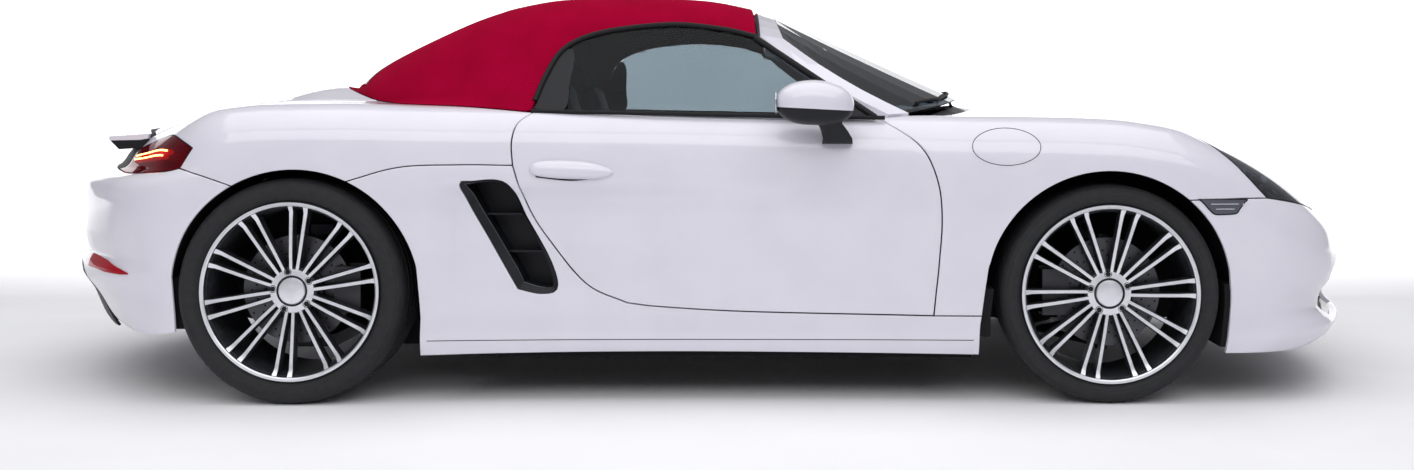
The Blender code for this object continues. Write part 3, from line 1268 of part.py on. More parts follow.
def main():
    clear_scene()
    chassis_tub()
    for side, flip in (("left", 1), ("right", -1)):
        front_fender(f"front_fender_{side}", flip)
        side_panel(f"side_panel_{side}", flip)
        rear_quarter(f"rear_quarter_{side}", flip)
        headlamp(f"headlamp_{side}", flip)
        tail_lamp(f"tail_lamp_{side}", flip)
        body = door(f"door_{side}", flip)
        cut(body, *door_hinge_room(flip))
        join(body, *door_pins(body.name, flip))
        door_glass(f"door_glass_{side}", flip)
        mirror(f"mirror_{side}", flip)
        seat(f"seat_{side}", flip)
        knuckle(f"knuckle_{side}", flip)
        side_intake(f"side_intake_{side}", flip)
        arch_liner(f"arch_liner_front_{side}", FRONT_ARCH, FRONT_ARCH_R, FRONT_LINER_Y, flip)
        arch_liner(f"arch_liner_rear_{side}", REAR_ARCH, REAR_ARCH_R, REAR_LINER_Y, flip)
    front_bumper()
    lid = hood()
    join(lid, *(lug(s, flip) for flip in (1, -1) for s in (
        box((.778, .655, HOOD_PIVOT[2]), (.796, .670, .858)),
        disc(.007, .655, .670, (HOOD_PIVOT[0], 0, HOOD_PIVOT[2]), 12))))
    rear_bumper()
    tail_strip()
    deck()
    lid = rear_lid()
    join(lid, *(lug(s, flip) for flip in (1, -1) for s in (
        box((LID_PIVOT[0] - .008, .5783, LID_PIVOT[2]), (LID_PIVOT[0] + .008, .592, .868)),
        disc(.007, .5783, .592, (LID_PIVOT[0], 0, LID_PIVOT[2]), 12))))
    diffuser()
    _, inner = screen_frame()
    screen_glass(inner)
    cowl()
    soft_top()
    dashboard()
    steering_wheel()
    join(bpy.data.objects["dashboard"], extra(column()))
    engine()
    exhaust()
    front_grille()
    rear_spoiler()
    front_axle()
    rear_axle()
    for name, x, flip, track, radius, width in wheel_places():
        centre = (x, flip * track, radius)
        tyre(name, centre, radius, width)
        rim(name, centre, width, flip)
        brake_disc(name, centre, DISC_R, width / 2, flip)


if __name__ == "__main__":
    main()
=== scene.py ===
"""Looks of a low two-seat convertible car with a red fabric top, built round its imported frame.

Metres, +X to the nose, +Y to the car's left, +Z up. The body panels repeat the frame's surface, but finer.
"""

from math import cos, pi, radians, sin

import bmesh
import bpy
import numpy as np
from mathutils.bvhtree import BVHTree
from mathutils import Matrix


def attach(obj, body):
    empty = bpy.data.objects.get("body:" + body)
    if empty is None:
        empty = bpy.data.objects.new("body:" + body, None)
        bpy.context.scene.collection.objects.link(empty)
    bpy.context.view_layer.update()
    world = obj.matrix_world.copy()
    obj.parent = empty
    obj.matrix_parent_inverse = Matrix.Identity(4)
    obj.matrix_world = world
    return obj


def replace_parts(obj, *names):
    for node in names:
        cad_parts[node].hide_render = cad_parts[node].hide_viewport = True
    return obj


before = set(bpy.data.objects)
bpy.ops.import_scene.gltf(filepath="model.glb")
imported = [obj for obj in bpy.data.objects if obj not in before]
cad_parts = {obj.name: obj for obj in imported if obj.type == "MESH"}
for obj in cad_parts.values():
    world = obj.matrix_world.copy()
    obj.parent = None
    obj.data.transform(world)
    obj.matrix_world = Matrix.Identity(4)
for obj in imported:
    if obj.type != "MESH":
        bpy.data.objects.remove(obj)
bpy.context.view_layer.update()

# Sizes shared with the frame
LENGTH = 4.379
NOSE_X = LENGTH / 2
TAIL_X = -LENGTH / 2
REAR_AXLE_X = TAIL_X + 0.979
FRONT_AXLE_X = REAR_AXLE_X + 2.475
SILL_BOTTOM = 0.145
FRONT_ARCH_R = 0.370
REAR_ARCH_R = 0.372
FRONT_ARCH = (FRONT_AXLE_X - 0.006, 0.333)
REAR_ARCH = (REAR_AXLE_X + 0.015, 0.336)
ROOF_HEIGHT = 1.281
# gap between fixed panels, and how far a panel's edge is rolled over
PANEL_GAP = 0.0034
EDGE_ROLL = 0.0022
# how many times finer than the frame's the panels are
FINE = 4


def many(spots):
    """How many points a curve of the frame's gets here."""
    return (spots - 1) * FINE + 1


def table(*pairs):
    """A smooth function through (place, value) pairs: a cubic Hermite curve that never overshoots."""
    xs, ys = np.array(pairs, float).T
    h = np.diff(xs)
    slope = np.diff(ys) / h
    m = np.zeros(len(xs))
    same = slope[:-1] * slope[1:] > 0
    w1, w2 = 2 * h[1:] + h[:-1], h[1:] + 2 * h[:-1]
    inner = np.where(same, slope[:-1] * slope[1:], 0) * (w1 + w2)
    m[1:-1] = inner / np.where(same, w1 * slope[1:] + w2 * slope[:-1], 1)
    m[0], m[-1] = slope[0], slope[-1]

    def value(x):
        x = np.clip(x, xs[0], xs[-1])
        i = np.clip(np.searchsorted(xs, x) - 1, 0, len(h) - 1)
        t = (x - xs[i]) / h[i]
        a, b = ys[i], ys[i + 1]
        return (a * (1 + 2 * t) * (1 - t) ** 2 + b * t * t * (3 - 2 * t)
                + h[i] * (m[i] * t * (1 - t) ** 2 - m[i + 1] * t * t * (1 - t)))

    return value


def ease(t):
    t = np.clip(t, 0, 1)
    return t * t * (3 - 2 * t)


def through(points, spots):
    """A smooth curve through the given points: so many points, evenly, or one at each given share of it."""
    p = np.array(points, float)
    share = np.linspace(0, 1, spots) if isinstance(spots, int) else np.array(spots)
    if len(p) == 2:
        return p[0] + (p[1] - p[0]) * share[:, None]
    ends = np.vstack([2 * p[0] - p[1], p, 2 * p[-1] - p[-2]])
    t = np.linspace(0, 1, 24, endpoint=False)[:, None]
    runs = []
    for a, b, c, d in zip(ends, ends[1:], ends[2:], ends[3:]):
        runs.append(0.5 * (2 * b + (c - a) * t + (2 * a - 5 * b + 4 * c - d) * t ** 2
                           + (3 * b - a - 3 * c + d) * t ** 3))
    fine = np.vstack([*runs, p[-1:]])
    along = np.concatenate([[0], np.cumsum(np.linalg.norm(np.diff(fine, axis=0), axis=1))])
    wanted = share * along[-1]
    return np.column_stack([np.interp(wanted, along, fine[:, k]) for k in range(fine.shape[1])])


def arc(centre, radius, start, end, n):
    """n points of a circle in side view, from one angle to another, in degrees from forward."""
    a = np.radians(np.linspace(start, end, many(n)))
    return np.column_stack([centre[0] + radius * np.cos(a), centre[1] + radius * np.sin(a)])


# The body surface. Each wall is a height field and G = 1 is their rounded meeting.
# plan half width at hip height, by x
HIP = table((-2.3, .84), (-1.8, .882), (-1.5, .897), (-1.21, .9005), (-.9, .893), (-.6, .874), (-.3, .862),
            (0, .858), (.4, .862), (.8, .872), (1.26, .886), (1.6, .876), (1.9, .855), (2.3, .82))
# how far the side leans in, by height
LEAN = table((.10, .050), (.15, .024), (.20, .016), (.28, .022), (.42, .012), (.58, 0), (.70, .004),
             (.78, .012), (.87, .022), (.95, .05), (1.05, .10))
# height of the middle of hood and deck, by x
MIDDLE = table((-2.3, .72), (-1.95, .805), (-1.7, .862), (-1.386, .938), (-1.2, .966), (-.9, .95), (-.5, .90),
               (0, .885), (.5, .885), (.85, .90), (1.005, .886), (1.3, .832), (1.6, .757), (1.9, .655),
               (2.05, .595), (2.3, .48))
# height of the fender crests, by x
CREST = table((-2.3, .70), (-1.8, .80), (-1.645, .838), (-1.473, .892), (-1.3, .908), (-1.1, .910),
              (-.8, .902), (-.5, .895), (0, .887), (.5, .876), (.8, .870), (1.06, .868), (1.27, .862),
              (1.424, .843), (1.587, .802), (1.78, .727), (1.94, .63), (2.3, .40))
CREST_Y = 0.70
VALLEY_Y = 0.36
NOSE_BOW = 0.39
TAIL_BOW = 0.62
# how far the front face is set back, by height
NOSE_SET = table((.10, .22), (.145, .10), (.173, .045), (.205, .008), (.224, 0), (.245, .02), (.275, .05),
                 (.31, .045), (.36, .012), (.43, 0), (.50, .012), (.56, .045), (.62, .10), (.70, .19),
                 (.8, .33))
# how far the rear face is set in, by height
TAIL_SET = table((.12, .20), (.20, .09), (.30, .04), (.366, 0), (.395, 0), (.431, .018), (.50, .004),
                 (.586, 0), (.645, .004), (.668, .02), (.688, .07), (.705, .13), (.75, .155), (.80, .18),
                 (.86, .22), (.95, .32))
ROUND_SIDE, ROUND_TOP, ROUND_NOSE, ROUND_TAIL = .11, .11, .16, .12
POWER = 2.2
SPINE_X = 1.35
SPINE_Z = 0.45


def side_y(x, z):
    """Half width of the body side at (x, z), with the hollow that leads air along the door to the intake."""
    hollow = .030 * ease((.45 - x) / .95) * ease((x + .80) / .10)
    band = ease((.668 - z) / .05) * ease((z - .30) / .22)
    return HIP(x) - LEAN(z) - hollow * band


def top_z(x, a):
    middle, crest = MIDDLE(x), CREST(x)
    rise = (crest - middle) * ease((a - VALLEY_Y) / (CREST_Y - VALLEY_Y))
    return middle + rise - .6 * np.maximum(a - CREST_Y, 0) ** 2


def body_field(p):
    """Below 1 inside the body, 1 on its surface."""
    x, a, z = p[..., 0], np.abs(p[..., 1]), p[..., 2]
    walls = (
        (side_y(x, z) - a, ROUND_SIDE),
        (top_z(x, a) - z, ROUND_TOP),
        (NOSE_X - NOSE_BOW * a ** 2 - NOSE_SET(z) - x, ROUND_NOSE),
        (x - TAIL_X - TAIL_BOW * a ** 1.9 - TAIL_SET(z), ROUND_TAIL),
    )
    return sum(np.maximum(0, 1 - f / r) ** POWER for f, r in walls)


# The fabric top and its side windows share a second surface, above the belt
BELT_Y = table((-1.30, .10), (-1.22, .30), (-1.15, .45), (-1.08, .56), (-.95, .668), (-.75, .745),
               (-.47, .79), (0, .800), (.5, .800), (.9, .79))
ROOF = table((-1.40, .88), (-1.225, .968), (-1.1, 1.032), (-.9, 1.130), (-.71, 1.213), (-.6, 1.247),
             (-.45, 1.272), (-.25, ROOF_HEIGHT), (0, 1.269), (.17, 1.238), (.4, 1.17), (.7, 1.03))
TUMBLE = 0.60
BELT_Z = 0.870


def cabin_field(p):
    x, a, z = p[..., 0], np.abs(p[..., 1]), p[..., 2]
    lean = TUMBLE * (z - BELT_Z) + .12 * np.maximum(z - BELT_Z, 0) ** 2
    walls = ((BELT_Y(x) - lean - a, .10), (ROOF(x) - .10 * a ** 2 - z, .09))
    return sum(np.maximum(0, 1 - f / r) ** POWER for f, r in walls)


def meet(origin, way, field, reach=2.6):
    """The point on each ray where the field reaches 1, by halving."""
    origin, way = np.broadcast_arrays(np.array(origin, float), np.array(way, float))
    low, high = np.zeros(origin.shape[:-1]), np.full(origin.shape[:-1], reach)
    for _ in range(40):
        mid = (low + high) / 2
        inside = field(origin + way * mid[..., None]) < 1
        low, high = np.where(inside, mid, low), np.where(inside, high, mid)
    return origin + way * low[..., None]


def on_side(xz, field=body_field, from_y=0.0):
    xz = np.array(xz, float)
    origin = np.stack([xz[..., 0], np.full(xz.shape[:-1], from_y), xz[..., 1]], -1)
    return meet(origin, (0, 1, 0), field)


def on_top(xy, field=body_field, from_z=SPINE_Z):
    xy = np.array(xy, float)
    origin = np.stack([xy[..., 0], xy[..., 1], np.full(xy.shape[:-1], from_z)], -1)
    return meet(origin, (0, 0, 1), field)


def from_spine(p, field=body_field, half=SPINE_X, height=SPINE_Z):
    """Points moved on to the surface along rays from a line along the middle of the car."""
    core = np.stack([np.clip(p[..., 0], -half, half), np.zeros(p.shape[:-1]),
                     np.full(p.shape[:-1], height)], -1)
    way = p - core
    return meet(core, way / np.linalg.norm(way, axis=-1, keepdims=True), field)


def inward(p, field=body_field):
    """Unit vectors pointing into the body at surface points."""
    step = 1e-4
    slope = np.stack([field(p + step * e) - field(p - step * e) for e in np.eye(3)], -1)
    return -slope / np.linalg.norm(slope, axis=-1, keepdims=True)


def coons(bottom, top, left, right):
    """A grid that fills four edge curves: bottom and top run the same way, left and right both go upward."""
    u = np.linspace(0, 1, len(bottom))[:, None, None]
    v = np.linspace(0, 1, len(left))[None, :, None]
    ruled = (1 - v) * bottom[:, None] + v * top[:, None] + (1 - u) * left[None] + u * right[None]
    corners = ((1 - u) * (1 - v) * bottom[0] + u * (1 - v) * bottom[-1]
               + (1 - u) * v * top[0] + u * v * top[-1])
    return ruled - corners


# Meshes


def quads_of(n, m, start=0):
    i, j = np.meshgrid(np.arange(n - 1), np.arange(m - 1), indexing="ij")
    a = (i * m + j + start).ravel()
    return np.column_stack([a, a + m, a + m + 1, a + 1])


def welded(grids):
    """Vertices and quads of several grids, with shared edges made one."""
    points, faces, start = [], [], 0
    for g in grids:
        points.append(g.reshape(-1, 3))
        faces.append(quads_of(g.shape[0], g.shape[1], start))
        start += g.shape[0] * g.shape[1]
    points, faces = np.vstack(points), np.vstack(faces)
    _, first, index = np.unique(np.round(points, 6), axis=0, return_index=True, return_inverse=True)
    return points[first], index.reshape(-1)[faces]


def open_edges(faces):
    """The edges that belong to one face only, and the face of each."""
    ends = np.vstack([faces[:, [k, (k + 1) % 4]] for k in range(4)])
    owner = np.tile(np.arange(len(faces)), 4)
    _, index, count = np.unique(np.sort(ends, axis=1), axis=0, return_inverse=True, return_counts=True)
    alone = (count[index.reshape(-1)] == 1) & (ends[:, 0] != ends[:, 1])
    return ends[alone], owner[alone]


def drawn_in(points, faces, gap):
    """The sheet with its outline moved in by this much, square to the outline."""
    rim, owner = open_edges(faces)
    a, b = points[rim[:, 0]], points[rim[:, 1]]
    along = (b - a) / np.linalg.norm(b - a, axis=1, keepdims=True)
    to_middle = points[faces[owner]].mean(axis=1) - (a + b) / 2
    square = to_middle - (to_middle * along).sum(axis=1, keepdims=True) * along
    square /= np.linalg.norm(square, axis=1, keepdims=True)
    total = np.zeros_like(points)
    for k in range(2):
        np.add.at(total, rim[:, k], square)
    length = (total ** 2).sum(axis=1)
    factor = np.where(length > 0, 2 / np.maximum(length, .5), 0)
    return points + total * factor[:, None] * gap


def mirrored(points):
    return points * np.array([1, -1, 1])


# Shut lines on the left side, as in the frame


def on_line(points, spots):
    """A curve on the body surface through rough (x, y, z) points."""
    return from_spine(through(points, many(spots)))


def side_line(points, spots):
    """A curve on the body side through (x, z) points as seen from the side."""
    return on_side(through(points, many(spots)))


def top_line(points, spots):
    """A curve on the hood or deck through (x, y) points as seen from above."""
    return on_top(through(points, many(spots)))


def spread(a, b, spots):
    """A short curve on the surface between two points already on it."""
    return on_line((a, b), spots)


def middle_line(start, end, points):
    """A curve on the surface along the middle of the car, with this many points."""
    return from_spine(through([start, end], points))


FRONT_SEAM_DEG, FRONT_SPLIT_DEG = 50, 168
REAR_SEAM_DEG, BACK_SEAM_DEG = 65, 119.5
SILL_TOP = .264

door_front_low = side_line([(.731, SILL_TOP), (.745, .404)], 4)
door_front_high = side_line([(.745, .404), (.754, .555), (.741, .675), (.689, .78), (.57, .862)], 9)
door_rear_low = side_line([(-.20, .302), (-.323, .36), (-.443, .501), (-.505, .606), (-.543, .721)], 7)
door_rear_high = side_line([(-.543, .721), (-.548, .79), (-.535, .846), (-.496, .880)], 6)
door_bottom = side_line([(-.20, .302), (-.10, .29), (.172, .275), (.731, SILL_TOP)], 9)
door_top = side_line([(-.496, .880), (.019, .871), (.57, .862)], 9)

front_arch_low = side_line([(.877, SILL_TOP), (.887, .34), arc(FRONT_ARCH, FRONT_ARCH_R, 168, 168, 1)[0]], 4)
front_arch_high = on_side(arc(FRONT_ARCH, FRONT_ARCH_R, FRONT_SPLIT_DEG, FRONT_SEAM_DEG, 9))
front_arch_nose = np.vstack([
    side_line([(1.612, .150), (1.628, .30), arc(FRONT_ARCH, FRONT_ARCH_R, 10, 10, 1)[0]], 7),
    on_side(arc(FRONT_ARCH, FRONT_ARCH_R, 10, FRONT_SEAM_DEG, 4))[1:]])
fender_bottom = spread(door_front_low[0], front_arch_low[0], 4)
fender_split = spread(door_front_high[0], front_arch_high[0], 4)
nose_seam = on_line([front_arch_high[-1], (1.60, .87, .618), (1.735, .84, .620)], 4)
lamp_low = on_line([(1.735, .84, .620), (1.82, .775, .600), (1.94, .66, .570)], 4)
lamp_back = on_line([(1.562, .715, .800), (1.600, .765, .750), (1.642, .795, .705)], 4)
lamp_side = on_line([lamp_back[-1], (1.695, .825, .655), (1.735, .84, .620)], 9)
lamp_inner = on_line([(1.562, .715, .800), (1.69, .640, .768)], 4)
lamp_top_front = on_line([lamp_inner[-1], (1.80, .585, .72), (1.945, .53, .61)], 9)
lamp_front = spread(lamp_top_front[-1], lamp_low[-1], 4)
hood_side = top_line([(.765, .695), (1.0, .68), (1.3, .655), (1.584, .61)], 12)
hood_tip_side = top_line([(1.584, .61), (1.76, .55), (1.90, .475)], 12)
crown_side = spread(front_arch_high[-1], lamp_back[0], 9)
crown_top = spread(lamp_back[0], hood_side[-1], 4)
cowl_side = on_line([door_front_high[-1], (.66, .745, .865), hood_side[0]], 4)
hood_front = top_line([(1.90, .475), (1.955, .30), (1.975, 0)], 6)
hood_rear = top_line([(.765, .695), (.86, .55), (.955, .30), (1.005, 0)], 6)
nose_join = spread(lamp_top_front[-1], hood_tip_side[-1], 4)
rear_arch_foot = side_line([(-.822, SILL_BOTTOM), (-.821, .26)], 4)
rear_arch_rise = np.vstack([
    side_line([(-.821, .26), arc(REAR_ARCH, REAR_ARCH_R, 12, 12, 1)[0]], 2),
    on_side(arc(REAR_ARCH, REAR_ARCH_R, 12, REAR_SEAM_DEG, 6))[1:]])
front_arch_foot = side_line([(.868, SILL_BOTTOM), (.871, .225), (.877, SILL_TOP)], 4)
rocker_seam = spread(door_rear_low[0], rear_arch_foot[-1], 6)
rear_arch_top = on_side(arc(REAR_ARCH, REAR_ARCH_R, REAR_SEAM_DEG, BACK_SEAM_DEG, 7))
rear_arch_back = np.vstack([
    side_line([(-1.556, .217), arc(REAR_ARCH, REAR_ARCH_R, 172, 172, 1)[0]], 4),
    on_side(arc(REAR_ARCH, REAR_ARCH_R, 172, BACK_SEAM_DEG, 6))[1:]])
side_seam = side_line([(-.543, .721), (-.70, .723), (-.88, .716), arc(REAR_ARCH, REAR_ARCH_R, REAR_SEAM_DEG,
                                                                 REAR_SEAM_DEG, 1)[0]], 6)
top_rail = on_line([door_rear_high[-1], (-.75, .745, .90), (-.92, .69, .91), (-1.02, .62, .92)], 6)
quarter_join = spread(rear_arch_top[0], top_rail[-1], 6)
deck_side = on_line([top_rail[-1], (-1.20, .625, .93), (-1.40, .62, .91)], 7)
quarter_back = spread(rear_arch_top[-1], deck_side[-1], 6)
tail_seam = spread(rear_arch_top[-1], side_line([(-1.548, .712), (-1.548, .712)], 2)[0], 4)
lamp_nose = on_line([tail_seam[-1], (-1.51, .87, .775)], 3)
lid_corner = on_line([deck_side[-1], (-1.52, .62, .89)], 4)
tail_join = spread(lamp_nose[-1], lid_corner[-1], 4)
tail_edge = np.vstack([lamp_nose, tail_join[1:]])
lid_side = on_line([lid_corner[-1], (-1.68, .61, .86), (-1.80, .58, .83)], 5)
lamp_top = on_line([lamp_nose[-1], (-1.550, .855, .798), (-1.645, .785, .833), (-1.76, .70, .822),
                    (-1.855, .60, .792)], 5)
lamp_bottom = on_line([lamp_nose[0], (-1.61, .84, .700), (-1.76, .76, .696), (-1.88, .60, .703)], 5)
lamp_end = spread(lamp_bottom[-1], lamp_top[-1], 3)
lid_edge = spread(lamp_top[-1], lid_side[-1], 4)
strip_bottom = on_line([lamp_bottom[-1], (-2.0, .30, .700), (-2.03, 0, .698)], 6)
strip_top = on_line([lid_side[-1], (-1.87, .30, .82), (-1.89, 0, .825)], 6)
deck_front = on_line([top_rail[-1], (-1.12, .50, .94), (-1.19, .38, .95), (-1.235, .20, .96),
                      (-1.25, 0, .965)], 6)
deck_rear = on_line([deck_side[-1], (-1.40, .30, .93), (-1.40, 0, .935)], 6)
tail_low = on_line([rear_arch_back[0], (-1.66, .83, .200), (-1.86, .70, .212), (-1.95, .58, .30),
                    (-2.0, .46, .385), (-2.03, .25, .395), (-2.05, 0, .395)], 13)
tail_middle = middle_line(tail_low[-1], strip_bottom[-1], len(rear_arch_back))
floor_tail = on_line([(-1.87, .635, .185), (-1.93, .50, .185), (-1.97, .30, .18), (-1.98, 0, .18)], 8)


def chain(*curves):
    """Curves that follow one another, as one."""
    return np.vstack([curves[0], *(c[1:] for c in curves[1:])])


def patch(bottom, top, left, right, field=body_field):
    return from_spine(coons(bottom, top, left, right), field)


def both(grids):
    """Left-hand grids and their mirror images."""
    return [*grids, *(mirrored(g) for g in grids)]


# Finishes


def colour(hex_code):
    """The linear colour of an sRGB hex value such as '#E6E4EC'."""
    value = np.array([int(hex_code[k:k + 2], 16) for k in (1, 3, 5)]) / 255
    linear = np.where(value <= 0.04045, value / 12.92, ((value + 0.055) / 1.055) ** 2.4)
    return (*linear, 1.0)


def node(tree, kind, links=(), **settings):
    """Adds one node. Links are (output socket, input name) pairs; settings are a socket's or its own."""
    made = tree.nodes.new(kind)
    for name, value in settings.items():
        socket = made.inputs.get(name.replace("_", " "))
        if socket is not None:
            socket.default_value = value
        else:
            setattr(made, name.lower(), value)
    for output, name in links:
        tree.links.new(output, made.inputs[name])
    return made


def finish_of(name, base, rough, metallic=0.0, **more):
    """A new material with a Principled shader. Returns the material, its tree and its shader."""
    made = bpy.data.materials.new(name)
    made.use_nodes = True
    shader = made.node_tree.nodes["Principled BSDF"]
    shader.inputs["Base Color"].default_value = colour(base)
    shader.inputs["Roughness"].default_value = rough
    shader.inputs["Metallic"].default_value = metallic
    for socket, value in more.items():
        shader.inputs[socket.replace("_", " ")].default_value = value
    made.diffuse_color = colour(base)
    return made, made.node_tree, shader


def mottle(tree, shader, low, high, per_metre, bump_mm=0.0, rough=None, detail=3.0):
    """Noise of this many cells a metre: it blends two colours, raises a bump and varies the roughness."""
    place = node(tree, "ShaderNodeTexCoord")
    noise = node(tree, "ShaderNodeTexNoise", [(place.outputs["Object"], "Vector")], Scale=per_metre,
                 Detail=detail)
    if low != high:
        ramp = node(tree, "ShaderNodeValToRGB", [(noise.outputs["Fac"], "Fac")])
        ramp.color_ramp.elements[0].position, ramp.color_ramp.elements[1].position = .3, .7
        ramp.color_ramp.elements[0].color, ramp.color_ramp.elements[1].color = colour(low), colour(high)
        tree.links.new(ramp.outputs["Color"], shader.inputs["Base Color"])
    if bump_mm:
        bump = node(tree, "ShaderNodeBump", [(noise.outputs["Fac"], "Height")], Distance=bump_mm / 1000,
                    Strength=.6)
        tree.links.new(bump.outputs["Normal"], shader.inputs["Normal"])
    if rough:
        spread_of = node(tree, "ShaderNodeMapRange", [(noise.outputs["Fac"], "Value")], To_Min=rough[0],
                         To_Max=rough[1])
        tree.links.new(spread_of.outputs["Result"], shader.inputs["Roughness"])
    return noise


def paint_white():
    """Solid white car paint under clear lacquer, with the faintest orange peel, 8 mm from crest to crest."""
    made, tree, shader = finish_of("car_paint_white_lacquered", "#DCDAE4", .38, Coat_Weight=1.0,
                                   Coat_Roughness=.04)
    mottle(tree, shader, "#DAD8E3", "#DFDDE7", 6, rough=(.34, .42))
    return made


def moulded(name="abs_black_moulded", base="#0C0D0F", rough=.5, grain=900, light="#131418"):
    """Dark plastic or rubber from a grained tool: satin, weak in highlight, with this many grains a metre."""
    made, tree, shader = finish_of(name, base, rough, Specular_IOR_Level=.3)
    mottle(tree, shader, base, light, grain, bump_mm=.05, rough=(rough - .07, rough + .08))
    return made


def machined_alloy():
    """Cast aluminium with a diamond-turned face: bright, with turning lines 0.5 mm apart round the hub."""
    made, tree, shader = finish_of("aluminium_diamond_turned", "#E4E5EA", .36, .85)
    mottle(tree, shader, "#DEDFE5", "#ECEDF1", 30, rough=(.3, .42))
    return made


def painted_alloy():
    """Cast aluminium painted dark grey, in the spokes' sides and inside the rim."""
    made, tree, shader = finish_of("aluminium_cast_painted_grey", "#3A3B40", .42, .55)
    mottle(tree, shader, "#303136", "#44454B", 40, bump_mm=.03, rough=(.36, .5))
    return made


def tyre_rubber():
    """Moulded tyre rubber, dusty grey-black and matt, with a grain of about 2 mm."""
    made, tree, shader = finish_of("rubber_tyre_moulded", "#1C1C1F", .78)
    mottle(tree, shader, "#17171A", "#242428", 45, bump_mm=.15, rough=(.68, .86))
    return made


def woven_canvas():
    """Dyed acrylic canvas: a plain weave, drawn at 3 mm where the real thread is 0.6 mm, so that it shows."""
    made, tree, shader = finish_of("canvas_acrylic_woven_red", "#8E0026", .97, Specular_IOR_Level=.05)
    place = node(tree, "ShaderNodeTexCoord")
    waves = [node(tree, "ShaderNodeTexWave", [(place.outputs["Object"], "Vector")], Scale=55.0,
                  bands_direction=way) for way in "XY"]
    weave = node(tree, "ShaderNodeMath", [(waves[0].outputs["Fac"], 0), (waves[1].outputs["Fac"], 1)],
                 operation="MAXIMUM")
    noise = node(tree, "ShaderNodeTexNoise", [(place.outputs["Object"], "Vector")], Scale=9.0, Detail=4.0)
    mixed = node(tree, "ShaderNodeMath", [(weave.outputs[0], 0), (noise.outputs["Fac"], 1)],
                 operation="MULTIPLY")
    ramp = node(tree, "ShaderNodeValToRGB", [(mixed.outputs[0], "Fac")])
    for stop, place, tone in zip(ramp.color_ramp.elements, (.15, .75), ("#8C0026", "#A60033")):
        stop.position = place
        stop.color = colour(tone)
    tree.links.new(ramp.outputs["Color"], shader.inputs["Base Color"])
    bump = node(tree, "ShaderNodeBump", [(weave.outputs[0], "Height")], Distance=.0006, Strength=.35)
    tree.links.new(bump.outputs["Normal"], shader.inputs["Normal"])
    return made


def hide(name="leather_grained_black", base="#17171A"):
    """Finished cowhide with a pebble grain of about 2.5 mm."""
    made, tree, shader = finish_of(name, base, .55)
    place = node(tree, "ShaderNodeTexCoord")
    cells = node(tree, "ShaderNodeTexVoronoi", [(place.outputs["Object"], "Vector")], Scale=400.0)
    bump = node(tree, "ShaderNodeBump", [(cells.outputs["Distance"], "Height")], Distance=.0004, Strength=.5)
    tree.links.new(bump.outputs["Normal"], shader.inputs["Normal"])
    noise = node(tree, "ShaderNodeTexNoise", [(place.outputs["Object"], "Vector")], Scale=8.0)
    spread_of = node(tree, "ShaderNodeMapRange", [(noise.outputs["Fac"], "Value")], To_Min=.45, To_Max=.65)
    tree.links.new(spread_of.outputs["Result"], shader.inputs["Roughness"])
    return made


def tinted_glass(name="glass_laminated_tinted", base="#39434A", tint="#353F46", rough=.0):
    """Green-grey tinted safety glass, with a faint change of tint from place to place."""
    made, tree, shader = finish_of(name, base, rough, IOR=1.22, Transmission_Weight=1.0,
                                   Specular_IOR_Level=.15)
    mottle(tree, shader, base, tint, 3, detail=0.0)
    return made


def lens_of(name, base, clear=.85, rough=.03, tint=None, ior=1.49):
    """Moulded lamp lens, polished outside, its tint a little uneven from the mould."""
    made, tree, shader = finish_of(name, base, rough, IOR=ior, Transmission_Weight=clear,
                                   Specular_IOR_Level=.04)
    mottle(tree, shader, base, tint or base, 12, detail=0.0)
    return made


def glowing(name, base, strength, shades=("#FF9A3C", "#FFD27A")):
    """A lit lamp bar, as even as a light guide makes it."""
    made, tree, shader = finish_of(name, base, .4, Emission_Strength=strength)
    noise = mottle(tree, shader, base, base, 60)
    ramp = node(tree, "ShaderNodeValToRGB", [(noise.outputs["Fac"], "Fac")])
    ramp.color_ramp.elements[0].color, ramp.color_ramp.elements[1].color = map(colour, shades)
    tree.links.new(ramp.outputs["Color"], shader.inputs["Emission Color"])
    return made


def brushed(name, base, rough, per_metre=300, metallic=1.0):
    """Bare or silvered metal: an even tone with fine marks, this many a metre, that blur its reflections."""
    made, tree, shader = finish_of(name, base, rough, metallic)
    mottle(tree, shader, base, base, per_metre, bump_mm=.02, rough=(rough - .08, rough + .1))
    return made


PAINT = paint_white()
# trim, lamp housings and intakes; then extruded seals, which are duller
BLACK = moulded()
DARK = moulded("abs_blue_black_moulded", "#10121A", .42, 500)
SEAL = moulded("epdm_rubber_extruded", "#0B0B0D", .62, 300)
TURNED = machined_alloy()
CAST = painted_alloy()
RUBBER = tyre_rubber()
CANVAS = woven_canvas()
LEATHER = hide()
# both glasses are tinted, and the windscreen's is painted darker than the doors' glass: painted shade for how
# dark it looks seen slanting
GLASS = tinted_glass()
SIDE_GLASS = tinted_glass("glass_tempered_tinted", "#A3ADB2", "#9FA9AE")
# lamps: lenses, what lies behind them, and their lit guides with the red glow round them
CLEAR_LENS = lens_of("polycarbonate_smoked_clear", "#8D9098", .94, tint="#85888F")
RED_LENS = lens_of("acrylic_red_moulded", "#A80F22", .10)
GLOW = glowing("light_guide_lit", "#FFB347", 7.0)
TAIL_LENS = lens_of("acrylic_red_smoked", "#A01428", .80, tint="#8A0F20", ior=1.2)
TAIL_BOWL = moulded("abs_dark_red_moulded", "#3A0B12", .35, 300, "#470F18")
HALO = glowing("light_guide_red", "#E0102A", 1.6, ("#E00C28", "#FF2A3C"))
SMOKED = moulded("polycarbonate_smoked_grey", "#50525B", .22, 200, "#5B5D66")
